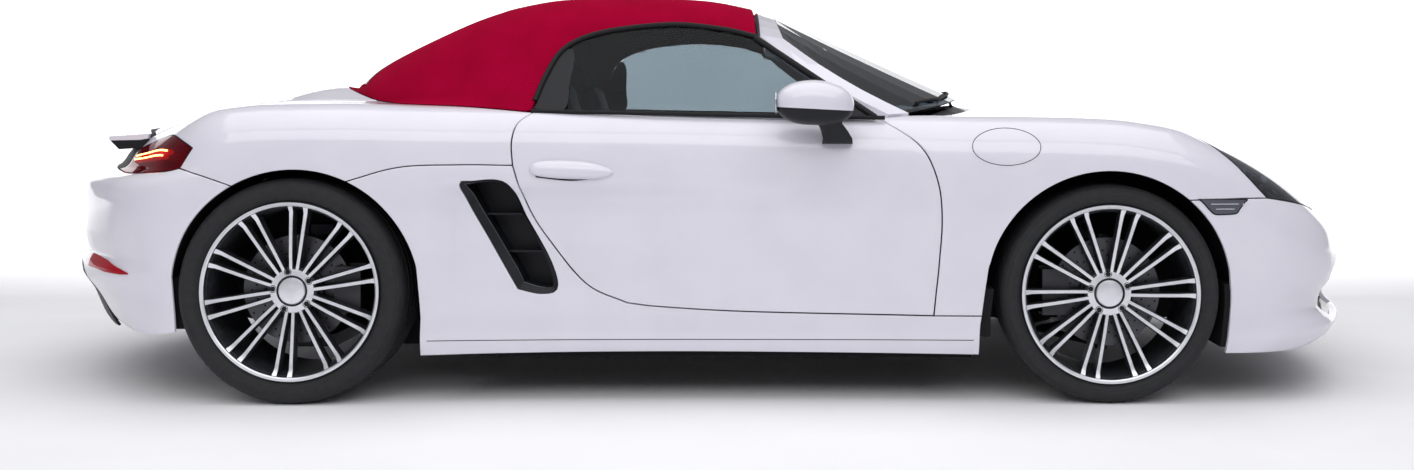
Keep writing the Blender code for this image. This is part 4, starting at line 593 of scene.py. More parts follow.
# metallised reflectors, brake discs, cast arms and hubs, mirror glass
CHROME = brushed("reflector_vacuum_metallised", "#D9DADF", .14, 40)
STEEL = brushed("steel_turned_grey", "#5C5C61", .42)
IRON = brushed("cast_iron_dark", "#4A4A4E", .5, 120)
MIRROR = brushed("mirror_glass_silvered", "#E8EAEE", .08, 5)
# felt-like liners in arches and boots, and the cloth inside the fabric top
LINER = moulded("polypropylene_liner_felted", "#0C0C0E", .85, 200)
LINING = moulded("polyester_headlining_black", "#08080A", .95, 30, "#0A0A0C")


# Meshes from arrays


def made_mesh(name, points, faces, finish, body, slot, sharp_deg=40, index=None):
    """An object from vertices and faces, smooth but for edges sharper than sharp_deg, riding on a body."""
    mesh = bpy.data.meshes.new(name)
    mesh.from_pydata(np.asarray(points, float).tolist(), [], [list(map(int, f)) for f in faces])
    mesh.validate()
    finishes = finish if isinstance(finish, (list, tuple)) else [finish]
    for f in finishes:
        mesh.materials.append(f)
    if index is not None:
        mesh.polygons.foreach_set("material_index", np.asarray(index, np.int32))
    work = bmesh.new()
    work.from_mesh(mesh)
    bmesh.ops.recalc_face_normals(work, faces=work.faces)
    if work.calc_volume(signed=True) < 0:
        bmesh.ops.reverse_faces(work, faces=work.faces)
    work.to_mesh(mesh)
    work.free()
    mesh.polygons.foreach_set("use_smooth", np.ones(len(mesh.polygons), bool))
    mesh.set_sharp_from_angle(angle=radians(sharp_deg))
    made = bpy.data.objects.new(name, mesh)
    bpy.context.scene.collection.objects.link(made)
    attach(made, body)
    return made


def rolled_sheet(points, faces, gap, depth, roll=EDGE_ROLL):
    """A closed panel: the sheet drawn in by half the gap, its edge rolled a quarter circle, and its depth.

    The edge's point at angle t is edge - square * roll * sin t + inward * roll * (1 - cos t).
    """
    base = drawn_in(points, faces, gap / 2 + roll)
    square = (base - points) / (gap / 2 + roll)
    rim, _ = open_edges(faces)
    spots = np.unique(rim)
    place = np.full(len(points), -1)
    place[spots] = np.arange(len(spots))
    unit = depth / np.linalg.norm(depth, axis=1, keepdims=True)
    angles = radians(90) * np.array([1, 2, 3]) / 3
    rings = [base[spots] - square[spots] * roll * sin(t) + unit[spots] * roll * (1 - cos(t)) for t in angles]
    back = base + depth
    back[spots] = rings[-1] + depth[spots] - unit[spots] * roll
    n, m = len(base), len(spots)
    everything = np.vstack([base, *rings, back])
    walls = []
    levels = [spots] + [n + k * m + np.arange(m) for k in range(len(rings))] + [n + len(rings) * m + spots]
    for upper, lower in zip(levels, levels[1:]):
        a, b = place[rim[:, 0]], place[rim[:, 1]]
        walls.append(np.column_stack([upper[b], upper[a], lower[a], lower[b]]))
    return everything, np.vstack([faces, *walls, faces[:, ::-1] + n + len(rings) * m])


def skin(name, grids, finish, body, slot, gap=PANEL_GAP, thick=.008, flip=1, field=body_field, straight=None,
         roll=EDGE_ROLL, lift=0.0, sharp_deg=40):
    """A panel of the car's surface from grids of points on it."""
    points, faces = welded(grids)
    inner = inward(points, field)
    points = points - inner * lift
    depth = inner * thick
    if straight is not None:
        depth = np.tile(np.array(straight, float) * thick, (len(points), 1))
    points, faces = rolled_sheet(points, faces, gap, depth, roll)
    return made_mesh(name, mirrored(points) if flip < 0 else points, faces, finish, body, slot, sharp_deg)


def lathe(profile, steps, centre=(0, 0, 0), axis="y"):
    """A closed profile of (radius, along) pairs turned about an axis through the centre."""
    prof = np.array(profile, float)
    n = len(prof)
    angle = np.arange(steps) * 2 * pi / steps
    r, w = prof[:, 0][None], np.broadcast_to(prof[:, 1][None], (steps, n))
    u, v = r * np.cos(angle)[:, None], r * np.sin(angle)[:, None]
    order = {"y": (u, w, v), "x": (w, u, v), "z": (u, v, w)}
    points = np.stack(order[axis], -1).reshape(-1, 3) + np.array(centre)
    i, j = np.meshgrid(np.arange(steps), np.arange(n), indexing="ij")
    k, m = (i + 1) % steps, (j + 1) % n
    faces = np.stack([i * n + j, i * n + m, k * n + m, k * n + j], -1).reshape(-1, 4)
    return points, faces


def loft(rings):
    """Rings of equal counts of points joined in order, both ends filled."""
    rings = np.array(rings, float)
    n, m = rings.shape[:2]
    i, j = np.meshgrid(np.arange(n - 1), np.arange(m), indexing="ij")
    k = (j + 1) % m
    faces = np.stack([i * m + j, i * m + k, (i + 1) * m + k, (i + 1) * m + j], -1).reshape(-1, 4).tolist()
    return rings.reshape(-1, 3), [*faces, list(range(m))[::-1], list(range((n - 1) * m, n * m))]


def tube(path, radius, steps=10):
    """A round bar along a path, its rings square to the path."""
    path = np.array(path, float)
    ahead = np.gradient(path, axis=0)
    ahead /= np.linalg.norm(ahead, axis=1, keepdims=True)
    up = np.where(np.abs(ahead[:, 2:]) > .9, [[1.0, 0, 0]], [[0, 0, 1.0]])
    side = np.cross(up, ahead)
    side /= np.linalg.norm(side, axis=1, keepdims=True)
    over = np.cross(ahead, side)
    angle = (np.arange(steps) * 2 * pi / steps)[None, :, None]
    size = np.broadcast_to(np.asarray(radius, float), (len(path),))[:, None, None]
    return loft(path[:, None] + size * (np.cos(angle) * side[:, None] + np.sin(angle) * over[:, None]))


def merged(*shapes):
    """Several (points, faces) shapes as one, and the number of each face's shape."""
    points, faces, owner, start = [], [], [], 0
    for k, (p, f) in enumerate(shapes):
        points.append(np.asarray(p, float))
        faces += [[int(v) + start for v in face] for face in f]
        owner += [k] * len(f)
        start += len(p)
    return np.vstack(points), faces, owner


def flipped(shape, flip):
    points, faces = shape
    return (mirrored(np.array(points)) if flip < 0 else np.array(points)), faces


def box(low, high):
    (x0, y0, z0), (x1, y1, z1) = low, high
    points = [(x, y, z) for x in (x0, x1) for y in (y0, y1) for z in (z0, z1)]
    return np.array(points), [(0, 1, 3, 2), (4, 6, 7, 5), (0, 4, 5, 1), (2, 3, 7, 6), (0, 2, 6, 4),
                              (1, 5, 7, 3)]


def prism(outline, low, high):
    """An (x, z) outline pushed along Y."""
    o = np.array(outline, float)
    return loft([np.column_stack([o[:, 0], np.full(len(o), w), o[:, 1]]) for w in (low, high)])


def cut_by(target, shape):
    """Takes a closed shape out of a piece."""
    mesh = bpy.data.meshes.new("cutter")
    mesh.from_pydata(np.asarray(shape[0], float).tolist(), [], [list(map(int, f)) for f in shape[1]])
    work = bmesh.new()
    work.from_mesh(mesh)
    bmesh.ops.recalc_face_normals(work, faces=work.faces)
    work.to_mesh(mesh)
    work.free()
    tool = bpy.data.objects.new("cutter", mesh)
    bpy.context.scene.collection.objects.link(tool)
    change = target.modifiers.new("cut", "BOOLEAN")
    change.operation, change.solver, change.object = "DIFFERENCE", "EXACT", tool
    bpy.context.view_layer.update()
    result = bpy.data.meshes.new_from_object(target.evaluated_get(bpy.context.evaluated_depsgraph_get()))
    target.modifiers.clear()
    target.data = result
    result.set_sharp_from_angle(angle=radians(40))
    bpy.data.objects.remove(tool)


# Body panels


def fender_grids():
    behind = patch(fender_bottom, fender_split, door_front_low, front_arch_low)
    main = patch(chain(fender_split, front_arch_high), hood_side, chain(door_front_high, cowl_side),
                 chain(crown_side, crown_top))
    below_lamp = patch(nose_seam, lamp_back, crown_side, lamp_side[::-1])
    beside_lamp = patch(chain(lamp_inner, lamp_top_front), hood_tip_side, crown_top, nose_join)
    return [behind, main, below_lamp, beside_lamp]


def intake_outline():
    """Side intake's rim in side view, as (x, z) points."""
    return through([(-.53, .345), (-.62, .50), (-.700, .655), (-.66, .675), (-.56, .668), (-.50, .56),
                    (-.425, .42), (-.41, .345), (-.46, .33), (-.53, .345)], 73)[:-1]


def side_grids():
    top = chain(fender_bottom[::-1], door_bottom[::-1], rocker_seam)
    bottom = from_spine(through([front_arch_foot[0], rear_arch_foot[0]], len(top)))
    rocker = patch(bottom, top, front_arch_foot, rear_arch_foot)
    flank = patch(rocker_seam, side_seam, door_rear_low, rear_arch_rise)
    return [rocker, flank]


def quarter_grids():
    return [patch(side_seam, top_rail, door_rear_high, quarter_join),
            patch(rear_arch_top, deck_side, quarter_join, quarter_back),
            patch(tail_seam, lid_corner, quarter_back, tail_edge),
            patch(lamp_top, lid_side, tail_join, lid_edge)]


def front_bumper_grid():
    z = front_arch_nose[0][2]
    low = through([front_arch_nose[0], (1.80, .80, z), (1.98, .60, z), (2.08, .35, z), (2.10, 0, z)],
                  many(18))
    low[1:] = from_spine(low[1:], height=z)
    top = chain(nose_seam, lamp_low, lamp_front[::-1], nose_join, hood_front)
    return patch(low, top, front_arch_nose, middle_line(low[-1], top[-1], len(front_arch_nose)))


def rear_bumper_grid():
    return patch(tail_low, chain(tail_seam, lamp_bottom, strip_bottom), rear_arch_back, tail_middle)


def hood_grid():
    edge = chain(hood_side, hood_tip_side)
    return patch(hood_rear, hood_front, edge, middle_line(hood_rear[-1], hood_front[-1], len(edge)))


def lid_grid():
    left = chain(lid_corner, lid_side)
    return patch(deck_rear, strip_top, left, middle_line(deck_rear[-1], strip_top[-1], len(left)))


def deck_grid():
    return patch(deck_front, deck_rear, deck_side, middle_line(deck_front[-1], deck_rear[-1], len(deck_side)))


def strip_grid():
    left = chain(lamp_end, lid_edge)
    return patch(strip_bottom, strip_top, left, middle_line(strip_bottom[-1], strip_top[-1], len(left)))


def diffuser_grid():
    top = tail_low[5 * FINE:]
    left = spread(floor_tail[0], top[0], 4)
    return patch(floor_tail, top, left, middle_line(floor_tail[-1], top[-1], len(left)))


def door_grid():
    return patch(door_bottom, door_top, chain(door_rear_low, door_rear_high),
                 chain(door_front_low, door_front_high))


def lamp_grid():
    return patch(chain(lamp_back, lamp_side), chain(lamp_top_front, lamp_front), lamp_inner, lamp_low)


# the nose's openings as (y, z) outlines, narrower than the solids' so that they don't show from the side
SIDE_MOUTH = [(.400, .245), (.540, .235), (.665, .238), (.702, .290), (.696, .360), (.650, .392),
              (.510, .388), (.420, .372)]
MIDDLE_MOUTH = [(-.300, .235), (.300, .235), (.330, .300), (.300, .345), (-.300, .345), (-.330, .300)]


def body_panels():
    for side, flip in (("left", 1), ("right", -1)):
        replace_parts(skin(f"fender_skin_{side}", fender_grids(), PAINT, "body", "car_paint_white", flip=flip),
                    f"front_fender_{side}")
        made = skin(f"side_skin_{side}", side_grids(), PAINT, "body", "car_paint_white", flip=flip,
                    thick=.018)
        cut_by(made, flipped(prism(intake_outline(), .70, 1.0), flip))
        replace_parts(made, f"side_panel_{side}")
        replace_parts(skin(f"quarter_skin_{side}", quarter_grids(), PAINT, "body", "car_paint_white",
                         flip=flip), f"rear_quarter_{side}")
        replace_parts(skin(f"door_skin_{side}", [door_grid()], PAINT, f"door_{side}", "car_paint_white",
                         flip=flip, gap=.0045, thick=.060, straight=(0, -1, 0)), f"door_{side}")
    nose = skin("nose_skin", both([front_bumper_grid()]), PAINT, "body", "car_paint_white", thick=.012)
    for outline in (SIDE_MOUTH, [(-y, z) for y, z in SIDE_MOUTH], MIDDLE_MOUTH):
        cut_by(nose, loft([[(x, y, z) for y, z in through([*outline, outline[0]], 61)[:-1]]
                           for x in (1.6, 2.3)]))
    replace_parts(nose, "front_bumper")
    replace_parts(skin("tail_skin", both([rear_bumper_grid()]), PAINT, "body", "car_paint_white"),
                "rear_bumper")
    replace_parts(skin("hood_skin", both([hood_grid()]), PAINT, "hood", "car_paint_white", gap=.005,
                     thick=.010), "hood")
    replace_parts(skin("lid_skin", both([lid_grid()]), PAINT, "rear_lid", "car_paint_white", gap=.005,
                     thick=.010), "rear_lid")
    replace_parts(skin("deck_skin", both([deck_grid()]), PAINT, "body", "car_paint_white"), "deck_panel")
    strip = skin("tail_strip_skin", both([strip_grid()]), [BLACK, PAINT], "body", "black_plastic")
    # the corners above the lamps are painted
    for face in strip.data.polygons:
        face.material_index = int(abs(face.center.y) > .53 and face.center.z > .785)
    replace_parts(strip, "tail_strip")
    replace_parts(skin("diffuser_skin", both([diffuser_grid()]), BLACK, "body", "black_plastic"),
                "rear_diffuser")


# Cabin


def cabin(points, low=.60):
    return from_spine(points, cabin_field, 1.2, low)


# the side window's upper edge in side view, from its lower rear corner
WINDOW = [(-.502, .8890), (-.466, 1.00), (-.415, 1.085), (-.30, 1.135), (-.09, 1.160), (.08, 1.145),
          (.188, 1.120)]


def top_sheets():
    """The fabric top's roof, flank and tail grids, and the rear window's own grid."""
    window = on_side(through(WINDOW, many(9)), cabin_field)
    corner = window[0]
    pane_top = cabin(through([(-.700, .40, 1.19), (-.715, .22, 1.21), (-.72, 0, 1.212)], many(4)))
    pane_low = cabin(through([(-1.13, .45, 1.00), (-1.19, .25, 1.0), (-1.205, 0, .99)], many(6)))
    pane_side = cabin(through([pane_top[0], pane_low[0]], many(6)))
    back = cabin(through([corner, (-.56, .68, 1.05), pane_top[0]], many(5)))
    header = cabin(through([window[-1], (.165, .35, 1.22), (.160, 0, 1.24)], many(8)))
    middle = cabin(through([(.160, 0, 1.24), (-.25, 0, 1.28), pane_top[-1]], many(9)))
    roof = cabin(coons(window[::-1], middle, header, chain(back, pane_top)))
    base = np.vstack([top_rail, deck_front[1:]]) + np.array((0, 0, .0024))
    base[0] = corner
    side_base, tail_base = base[:5 * FINE + 1], base[5 * FINE:]
    hip = cabin(through([side_base[-1], pane_low[0]], many(5)))
    flank = cabin(coons(side_base, pane_side, back, hip))
    flank[:, 0] = side_base
    tail_back = cabin(through([tail_base[-1], pane_low[-1]], many(5)))
    tail = cabin(coons(tail_base, pane_low, hip, tail_back))
    tail[:, 0] = tail_base
    pane = cabin(coons(cabin(through(pane_top, many(6))), pane_low, pane_side,
                       cabin(through([pane_top[-1], pane_low[-1]], many(6)))))
    return [roof, flank, tail], pane


def fabric_top():
    sheets, pane = top_sheets()
    made = skin("canvas_top", both(sheets), CANVAS, "body", "red_canvas", gap=.001, thick=.014,
                field=cabin_field, roll=.003, sharp_deg=60)
    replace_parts(made, "soft_top")
    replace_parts(skin("rear_pane", both([pane]), GLASS, "body", "tinted_glass", gap=.016, thick=.004,
                     field=cabin_field, roll=.0008), "rear_window")


# Wheels


# half track, tyre radius and tyre width at either end
FRONT_WHEEL = (.7575, .331, .232)
REAR_WHEEL = (.760, .341, .262)
# the rim's outer edge and the seat of the tyre's bead
RIM_R, RIM_BED_R = .271, .254
# how deep the spokes' face lies from the tyre's side, and the hub's depth behind it
FACE_SET, HUB_DEEP = .018, .050
SPOKE_PAIRS, BOLTS, BOLT_CIRCLE_R = 10, 5, .0585
HOLES_A_RING = 18


def wheel_places():
    """Name, axle's x, side, half track, tyre radius and tyre width of each wheel."""
    return [(f"{end}_{side}", x, flip, *sizes)
            for end, x, sizes in (("front", FRONT_AXLE_X, FRONT_WHEEL), ("rear", REAR_AXLE_X, REAR_WHEEL))
            for side, flip in (("left", 1), ("right", -1))]


def tyre(name, centre, radius, width):
    """Tyre: a turned profile of bead, rounded sidewall with two raised rings, shoulder and four grooves."""
    half = width / 2
    side = [(RIM_BED_R + .001, .0215), (RIM_R + .0012, .0180), (RIM_R + .010, .0075), (RIM_R + .014, .0058),
            (RIM_R + .016, .0032), (RIM_R + .022, .0026), (RIM_R + .024, .0012), (radius - .030, .0006),
            (radius - .020, .0022), (radius - .0185, .0046), (radius - .014, .0068), (radius - .008, .0135),
            (radius - .0035, .022), (radius - .0008, .031)]
    outer = [(r, half - w) for r, w in side]
    grooves = []
    for mid in (.052, .018):
        grooves += [(radius, mid + .0055), (radius - .006, mid + .0045), (radius - .006, mid - .0045),
                    (radius, mid - .0055)]
    top = outer + grooves
    profile = top + [(r, -w) for r, w in top[::-1]]
    made = made_mesh(f"tyre_skin_{name}", *lathe(profile, 96, centre), RUBBER, f"wheel_{name}", "tyre_rubber")
    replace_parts(made, f"tyre_{name}")


def spoke(turn, side, face, half):
    """One leg of a twin spoke: a machined face on a dark, deeper flank, from the hub out to the rim.

    Each ring is a six-sided section; its face is 9.5 mm wide and its foot spreads as it goes down.
    """
    stations = [(.050, .0080, face - .0170, .036, .0045), (.075, .0105, face - .0150, .034, .0046),
                (.12, .0142, face - .0120, .031, .0047), (.17, .0176, face - .0095, .029, .0048),
                (.215, .0205, face - .0080, .030, .0050), (.238, .0219, face - .0075, .034, .0056),
                (RIM_BED_R + .004, .0235, half - .0135, .040, .0075)]
    rings = []
    for r, off, top, deep, w in stations:
        mid = side * off
        ring = [(r, mid - w, top), (r, mid + w, top), (r, mid + w + .0012, top - .0015),
                (r, mid + w + .0032, top - deep), (r, mid - w - .0032, top - deep),
                (r, mid - w - .0012, top - .0015)]
        c, s = cos(turn), sin(turn)
        rings.append([(a * c - b * s, y, a * s + b * c) for a, b, y in ring])
    points, faces = loft(rings)
    return points, faces, [1 if k % 6 == 0 else 0 for k in range(len(faces) - 2)] + [0, 0]


def rim(name, centre, width, flip, turn):
    """Alloy rim: barrel, machined lip, ten twin spokes, hub face with five bolts and a plain centre cap."""
    half = width / 2
    face = half - FACE_SET
    barrel = lathe([(RIM_BED_R, -half + .020), (RIM_BED_R, half - .022), (RIM_R - .003, half - .017),
                    (RIM_R, half - .0168), (RIM_R, half - .0085), (RIM_R - .0015, half - .0075),
                    (RIM_R - .009, half - .0075), (RIM_R - .0125, half - .0105),
                    (RIM_R - .015, half - .020), (RIM_BED_R - .008, half - .045),
                    (RIM_BED_R - .010, -half + .020)], 120)
    # of the barrel's eleven bands, the sixth and seventh are the machined lip
    shapes, marks = [barrel], [[int(k % 11 in (5, 6)) for k in range(len(barrel[1]))]]
    for k in range(SPOKE_PAIRS):
        for side in (-1, 1):
            *shape, mark = spoke(turn + k * 2 * pi / SPOKE_PAIRS, side, face, half)
            shapes.append(shape)
            marks.append(mark)
    hub = lathe([(.012, face - .052), (.070, face - .052), (.074, face - .046), (.073, face - .024),
                 (.066, face - .0165), (.047, face - .0150), (.043, face - .019), (.012, face - .019)],
                60)
    shapes.append(hub)
    marks.append([int(k % 8 == 4) for k in range(len(hub[1]))])
    cap = lathe([(.0005, face - .0195), (.0398, face - .0195), (.0405, face - .014), (.0385, face - .0115),
                 (.030, face - .0095), (.016, face - .0085), (.0005, face - .0082)], 48)
    shapes.append(cap)
    marks.append([1] * len(cap[1]))
    for k in range(BOLTS):
        a = turn + pi / SPOKE_PAIRS + k * 2 * pi / BOLTS
        x, z = BOLT_CIRCLE_R * cos(a), BOLT_CIRCLE_R * sin(a)
        recess = lathe([(.0005, face - .030), (.0115, face - .030), (.0115, face - .0152),
                        (.0098, face - .0150), (.0098, face - .022), (.0005, face - .022)], 24, (x, 0, z))
        bolt = lathe([(.0005, face - .0225), (.0085, face - .0225), (.0085, face - .0145),
                      (.0070, face - .0135), (.0005, face - .0135)], 6, (x, 0, z))
        shapes += [recess, bolt]
        marks += [[0] * len(recess[1]), [2] * len(bolt[1])]
    points, faces, _ = merged(*shapes)
    points = points * (1, flip, 1) + np.array(centre)
    made = made_mesh(f"rim_skin_{name}", points, faces, [CAST, TURNED, BLACK], f"wheel_{name}",
                     "machined_alloy", 30, np.concatenate(marks))
    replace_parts(made, f"rim_{name}")


def brake(name, centre, half, flip):
    """Cast brake disc and its bell; its five rings of drilled bores are thin black discs on the face, painted
    shade of the bores.
    """
    y0 = half - FACE_SET - HUB_DEEP - .0003
    disc = lathe([(.034, y0 - .045), (.150, y0 - .045), (.165, y0 - .0445), (.165, y0 - .0155),
                  (.0835, y0 - .015), (.082, y0 - .002), (.080, y0), (.034, y0)], 96)
    # each drilled bore is a thin black disc on the face: painted shade, not a cut
    hole_shades = []
    for ring, r in enumerate((.098, .112, .126, .140, .153)):
        for k in range(HOLES_A_RING):
            a = (k + ring * .36) * 2 * pi / HOLES_A_RING
            hole_shades.append(lathe([(.0004, y0 - .0156), (.0034, y0 - .0156), (.0034, y0 - .0147),
                                (.0004, y0 - .0147)], 10, (r * cos(a), 0, r * sin(a))))
    points, faces, owner = merged(disc, *hole_shades)
    points = points * (1, flip, 1) + np.array(centre)
    made = made_mesh(f"brake_skin_{name}", points, faces, [STEEL, BLACK], f"wheel_{name}", "bare_steel", 40,
                     [int(o > 0) for o in owner])
    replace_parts(made, f"brake_disc_{name}")


def wheels():
    for name, x, flip, track, radius, width in wheel_places():
        centre = (x, flip * track, radius)
        tyre(name, centre, radius, width)
        rim(name, centre, width, flip, radians(4 if "front" in name else 12.6))
        brake(name, centre, width / 2, flip)


def carried_over():
    """Frame nodes whose shape is right keep it, with a worked finish."""
    finishes = {"chassis_tub": LINER, "cowl_panel": BLACK, "dashboard": LEATHER, "engine_block": IRON,
                "front_axle": IRON, "rear_axle": IRON, "screen_frame": PAINT, "screen_glass": GLASS,
                "front_grille": BLACK, "exhaust": CHROME}
    for side in ("left", "right"):
        finishes |= {f"knuckle_{side}": IRON, f"door_glass_{side}": SIDE_GLASS,
                     f"arch_liner_front_{side}": LINER, f"arch_liner_rear_{side}": LINER}
    for name, finish in finishes.items():
        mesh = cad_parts[name].data
        mesh.materials.clear()
        mesh.materials.append(finish)


# Fittings on the skin


def seam_line(name, path, finish, body, slot, radius=.0011, flip=1, steps=6):
    """A thin round bead along a path of points."""
    return made_mesh(name, *flipped(tube(path, radius, steps), flip), finish, body, slot)


def raised(xz, lift=0.0, field=body_field):
    """Points of the car's side at these (x, z), stood off by a lift."""
    found = on_side(np.asarray(xz, float), field)
    return found - inward(found, field) * lift


def plate(name, outline, lift, thick, finish, body, slot, flip=1, field=body_field):
    """A thin piece whose face follows the side: an outline stood off by a lift, and one behind it."""
    front = raised(outline, lift, field)
    back = front + inward(front, field) * thick
    return made_mesh(name, *flipped(loft([front, back]), flip), finish, body, slot, 30)


def shrunk(outline, inset):
    """An (x, z) outline drawn in by an inset, which may be one value for each point."""
    o = np.asarray(outline, float)
    along = np.roll(o, -1, axis=0) - np.roll(o, 1, axis=0)
    along /= np.linalg.norm(along, axis=1, keepdims=True)
    square = np.column_stack([along[:, 1], -along[:, 0]])
    area = (o[:, 0] * np.roll(o[:, 1], -1) - np.roll(o[:, 0], -1) * o[:, 1]).sum()
    return o + np.asarray(inset)[..., None] * square * (-1 if area > 0 else 1)


def window_seals():
    """Black rubber round each side window, the belt seal on the door's top and the mirror's corner panel."""
    crown = on_side(through(WINDOW, 60), cabin_field)
    x = np.linspace(-.500, .585, 40)
    belt = on_side(np.column_stack([x, np.interp(x, (-.5, .585), (.8865, .8660))]), cabin_field)
    front = on_side(through([(.188, 1.120), (.38, .990), (.560, .8690)], 40), cabin_field)
    corner = through([(.300, .868), (.335, .905), (.400, .955), (.560, .8690)], 30)
    for side, flip in (("left", 1), ("right", -1)):
        body = f"door_{side}"
        seam_line(f"roof_seal_{side}", crown[2:] + (0, .001, 0), SEAL, "body", "black_plastic", .0085,
                  flip, 12)
        seam_line(f"pillar_seal_{side}", front + (-.004, .003, -.004), SEAL, "body", "black_plastic",
                  .0105, flip, 12)
        seam_line(f"belt_seal_{side}", belt + (0, .004, -.002), SEAL, body, "black_plastic", .0065, flip, 12)
        plate(f"mirror_corner_{side}", corner, .0015, .007, DARK, body, "black_plastic", flip, cabin_field)
        rear = through([(-.492, .892), (-.462, .995), (-.412, 1.078), (-.385, 1.060), (-.392, .965),
                        (-.400, .890), (-.492, .892)], 40)[:-1]
        plate(f"rear_window_edge_{side}", rear, .0006, .006, DARK, body, "black_plastic", flip, cabin_field)


# the door handle's sections: x, top z, bottom z and how far it stands out
HANDLE = np.array([(-.492, .7120, .7060, .004), (-.480, .7280, .6920, .014), (-.450, .7345, .6850, .020),
                   (-.400, .7360, .6800, .023), (-.340, .7330, .6780, .022), (-.290, .7250, .6790, .017),
                   (-.255, .7130, .6860, .010), (-.239, .7000, .6970, .003)])


def door_handles():
    """A pull handle on each door: a rounded blade in body colour; the dark plate under it is painted shade of
    the finger recess.
    """
    x, top, low, out = through(HANDLE, 36).T
    mid, rise = (top + low) / 2, top - low
    section = ((-.004, .50), (.45, .47), (.86, .30), (1.0, .02), (.93, -.26), (.55, -.46), (-.004, -.50))
    rings = []
    for share, height in section:
        base = raised(np.column_stack([x, mid + rise * height]))
        rings.append(base + np.column_stack([0 * x, out * share if share > 0 else -.004 + 0 * x, 0 * x]))
    shape = loft(np.stack(rings, 1))
    for side, flip in (("left", 1), ("right", -1)):
        made_mesh(f"door_handle_{side}", *flipped(shape, flip), PAINT, f"door_{side}", "car_paint_white", 50)
        # the dark plate below the handle is painted shade of the finger recess
        shade_outline = through([(-.470, .684), (-.36, .674), (-.262, .688), (-.262, .696), (-.36, .700),
                        (-.470, .700), (-.470, .684)], 40)[:-1]
        plate(f"handle_shade_plate_{side}", shade_outline, .0009, .003, DARK, f"door_{side}", "black_plastic", flip)


def fuel_flap():
    """The filler flap's round gap, on the right front fender only: a black bead on the skin, painted shade of
    the gap.
    """
    turn = np.linspace(0, 2 * pi, 97)
    ring = np.column_stack([.949 + .1025 * np.cos(turn), .777 + .056 * np.sin(turn)])
    # painted shade: the gap is not cut, and a black bead stands for its dark
    seam_line("fuel_flap_gap_shade", raised(ring, -.0002), SEAL, "body", "black_plastic", .0012, -1)


# the side marker's outline in side view
MARKER = [(1.522, .6205), (1.600, .6210), (1.672, .6200), (1.664, .607), (1.650, .588), (1.638, .5745),
          (1.600, .5715), (1.572, .5725), (1.556, .585), (1.540, .603)]


def side_markers():
    """A small lamp at each front corner, ahead of the wheel arch: dark housing, grey lens, bright lines."""
    outline = through([*MARKER, MARKER[0]], 61)[:-1]
    for side, flip in (("left", 1), ("right", -1)):
        plate(f"marker_frame_{side}", outline, .0008, .006, DARK, "body", "black_plastic", flip)
        lens = shrunk(outline, .0042)
        plate(f"marker_lens_{side}", lens, .0021, .003, SMOKED, "body", "clear_lens", flip)
        for k, (z, x0, x1) in enumerate(((.605, 1.560, 1.645), (.590, 1.575, 1.632))):
            line = raised(np.column_stack([np.linspace(x0, x1, 12), np.full(12, z)]), .0024)
            seam_line(f"marker_line_{k}_{side}", line, CHROME, "body", "machined_alloy", .0008, flip)


def reflectors():
    """A red reflector let into each rear corner of the bumper."""
    along = through([(-1.958, .59, .408), (-1.915, .66, .408), (-1.865, .72, .406), (-1.79, .775, .401),
                     (-1.700, .81, .393)], 31)
    height = np.interp(np.linspace(0, 1, 31), (0, .08, .6, .9, 1), (.034, .037, .031, .014, .003))
    for side, flip in (("left", 1), ("right", -1)):
        rows = np.stack([along + np.column_stack([0 * height, 0 * height, height * k])
                         for k in (-.55, 0, .55)], 1)
        skin(f"reflector_{side}", [from_spine(rows)], RED_LENS, "body", "red_lens", gap=.0002, thick=.004,
             flip=flip, roll=.0003, lift=.0025)


def lens_path(lens):
    """The path round a lens grid."""
    return np.vstack([lens[:, 0], lens[-1, 1:], lens[::-1, -1][1:], lens[0, ::-1][1:-1]])


def ring_faces(count, pairs):
    """Quads between rings of so many points, for the given pairs of rings."""
    k = np.arange(count)
    after = (k + 1) % count
    faces = []
    for a, b in pairs:
        faces += np.column_stack([k + a * count, after + a * count, after + b * count,
                                  k + b * count]).tolist()
    return faces


def collar(name, path, deep, finish, slot, flip):
    """The dark wall round a lamp, from its lens back to its bowl, 2 to 4 mm inside the lens's path."""
    way = path.mean(axis=0) - path
    way /= np.linalg.norm(way, axis=1, keepdims=True)
    inner = inward(path)
    corners = ((.002, .003), (.002, deep), (.004, deep), (.004, .003))
    rings = [path + way * side + inner * depth for side, depth in corners]
    faces = ring_faces(len(path), ((0, 1), (1, 2), (2, 3), (3, 0)))
    made_mesh(name, *flipped((np.vstack(rings), faces), flip), finish, "body", slot)


